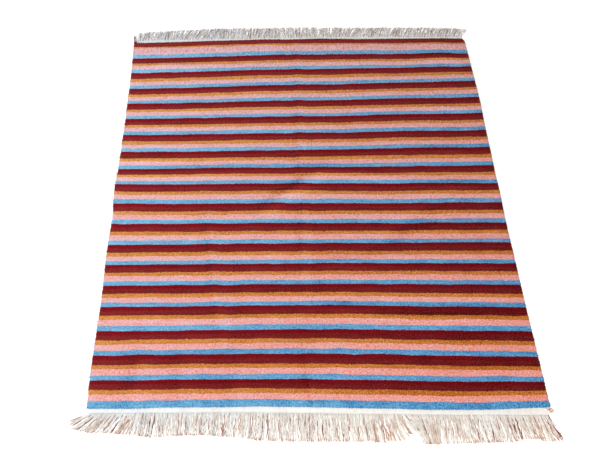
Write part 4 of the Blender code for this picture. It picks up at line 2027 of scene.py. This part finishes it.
@dataclass(frozen=True)
class Studio:
    """A pale floor, soft light, and a camera held at a standing person's eye level."""

    eye: tuple[float, float, float] = (-0.0991, -0.9161, 1.683)
    pitch: float = 65.471
    yaw: float = 5.886
    roll: float = 4.248
    lens: float = 28.776
    sensor: float = 36.0
    floor_size: float = 14.0
    floor_colour: tuple[float, float, float, float] = (0.93, 0.93, 0.93, 1.0)
    room_colour: tuple[float, float, float, float] = (0.303, 0.307, 0.311, 1.0)
    floor_glow: float = 0.46
    lamps: tuple[Lamp, ...] = (
        Lamp("room light", (0.6, -3.1, 3.0), (0.0, -0.2, 0.0), 1.6, (1.0, 0.97, 0.93), 119.0),
        Lamp("window", (-2.9, 0.0, 1.7), (-0.1, 0.0, 0.0), 1.2, (0.90, 0.97, 1.0), 44.0),
    )

    def camera(self) -> None:
        """Places the camera from its three angles."""
        pitch, yaw, roll = (math.radians(angle) for angle in (self.pitch, self.yaw, self.roll))
        ahead = Vector((math.sin(yaw) * math.cos(pitch), math.cos(yaw) * math.cos(pitch), -math.sin(pitch)))
        level = Vector((math.cos(yaw), -math.sin(yaw), 0.0))
        above = level.cross(ahead)
        right = math.cos(roll) * level + math.sin(roll) * above
        up = math.cos(roll) * above - math.sin(roll) * level
        data = bpy.data.cameras.new("camera")
        data.sensor_width = self.sensor
        data.lens = self.lens
        data.clip_start = 0.01
        held = placed("camera", data)
        turn = Matrix((right, up, -ahead)).transposed().to_4x4()
        held.matrix_world = Matrix.Translation(self.eye) @ turn
        bpy.context.scene.camera = held

    def floor(self) -> bpy.types.Object:
        """Lays the floor.

        Returns:
            The floor.
        """
        half = 0.5 * self.floor_size
        mesh = bpy.data.meshes.new("floor")
        corners = [(-half, -half, 0.0), (half, -half, 0.0), (half, half, 0.0), (-half, half, 0.0)]
        mesh.from_pydata(corners, [], [[0, 1, 2, 3]])
        material, _, shader = bare_material("pale floor")
        set_plain(shader, Base_Color=self.floor_colour, Roughness=0.9, Specular_IOR_Level=0.0)
        set_plain(shader, Emission_Color=(1.0, 1.0, 1.0, 1.0), Emission_Strength=self.floor_glow)
        mesh.materials.append(material)
        floor = placed("floor", mesh)
        return floor

    def build(self) -> bpy.types.Object:
        """Sets up the light, the camera and the floor.

        Returns:
            The floor.
        """
        world = bpy.data.worlds.new("soft room")
        world.use_nodes = True
        background = world.node_tree.nodes["Background"]
        set_plain(background, Color=self.room_colour, Strength=1.0)
        bpy.context.scene.world = world
        bpy.context.scene.view_settings.view_transform = "Standard"
        for lamp in self.lamps:
            lamp.build()
        self.camera()
        return self.floor()


# ---- Putting it together --------------------------------------------------------------------


def report(piece: bpy.types.Object) -> None:
    """Logs a piece's name and size."""
    LOG.info("%s: %d faces", piece.name, len(piece.data.polygons))


def attach(piece: bpy.types.Object, slot: str, *nodes: str) -> None:
    """Lets a piece ride on the rug's body, and hides what it replaces.

    Args:
        piece: The piece.
        slot: The slot's name; not used.
        *nodes: The solids that it stands for.
    """
    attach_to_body(piece, BODY)
    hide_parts(*nodes)
    report(piece)


def main() -> None:
    """Builds the rug and the studio."""
    logging.basicConfig(level=logging.INFO, format="%(message)s")
    floor = Studio().build()
    effects = Effects.build()
    outline = Outline()
    plan = StripePlan(outline)

    field = PileField(outline, plan)
    pile, back = field.build(effects)
    attach(pile, "wool_pile", "rug_cloth")
    attach(back, "wool_pile", "rug_cloth")
    with_cloth = []
    cut_wool = CUT_TUFTS.material(effects)
    for number, shell in enumerate(PileTufts(field).shells(2)):
        with_cloth.append(shell.make(f"pile_tufts_{number + 1}", "Weave", cut_wool))
    with_cloth.append(RimTufts(field).shell().make("rim_tufts", "Weave", LOOSE_ENDS.material(effects)))
    for piece in with_cloth:
        attach(piece, "wool_pile", "rug_cloth")

    twined_cotton = TWINED_COTTON.material(effects)
    near_band = EndBand(
        outline, End.NEAR, insets=(0.002, 0.010), length=0.0152, sways=NEAR_WEAVE_SWAYS, shade=0.40
    )
    far_band = EndBand(
        outline, End.FAR, insets=(0.006, 0.005), length=0.0130, sways=(Sway(0.0, 0.0),), shade=0.30
    )
    near_edge, far_edge = TwinedEdge(near_band), TwinedEdge(far_band)
    near_fringe = Fringe(
        near_edge, NEAR_LAY, seed=11, gather=0.66, reach_play=0.015, tip_play=0.012, deep_yarns=5,
        strays=NEAR_STRAYS, stains=NEAR_STAINS,
    )
    far_fringe = Fringe(
        far_edge, FAR_LAY, seed=23, gather=0.85, reach_play=0.050, tip_play=0.032, strays=FAR_STRAYS
    )
    ends = (
        ("near", near_band, near_edge, near_fringe, NEAR_WOVEN, NEAR_YARN),
        ("far", far_band, far_edge, far_fringe, FAR_WOVEN, FAR_YARN),
    )
    for name, band, twined, fringe, woven_finish, yarn_finish in ends:
        woven = band.shell().make(f"end_band_{name}", "Yarn", woven_finish.material(effects))
        attach(woven, "cotton_fringe", "rug_cloth")
        edge = twined.shell().make(f"twined_edge_{name}", "Yarn", twined_cotton)
        attach(edge, "cotton_fringe", f"fringe_{name}")
        yarns = fringe.shell().make(f"fringe_{name}_yarns", "Yarn", yarn_finish.material(effects))
        attach(yarns, "cotton_fringe", f"fringe_{name}")
        with_cloth += [edge, yarns]


if __name__ == "__main__":
    main()
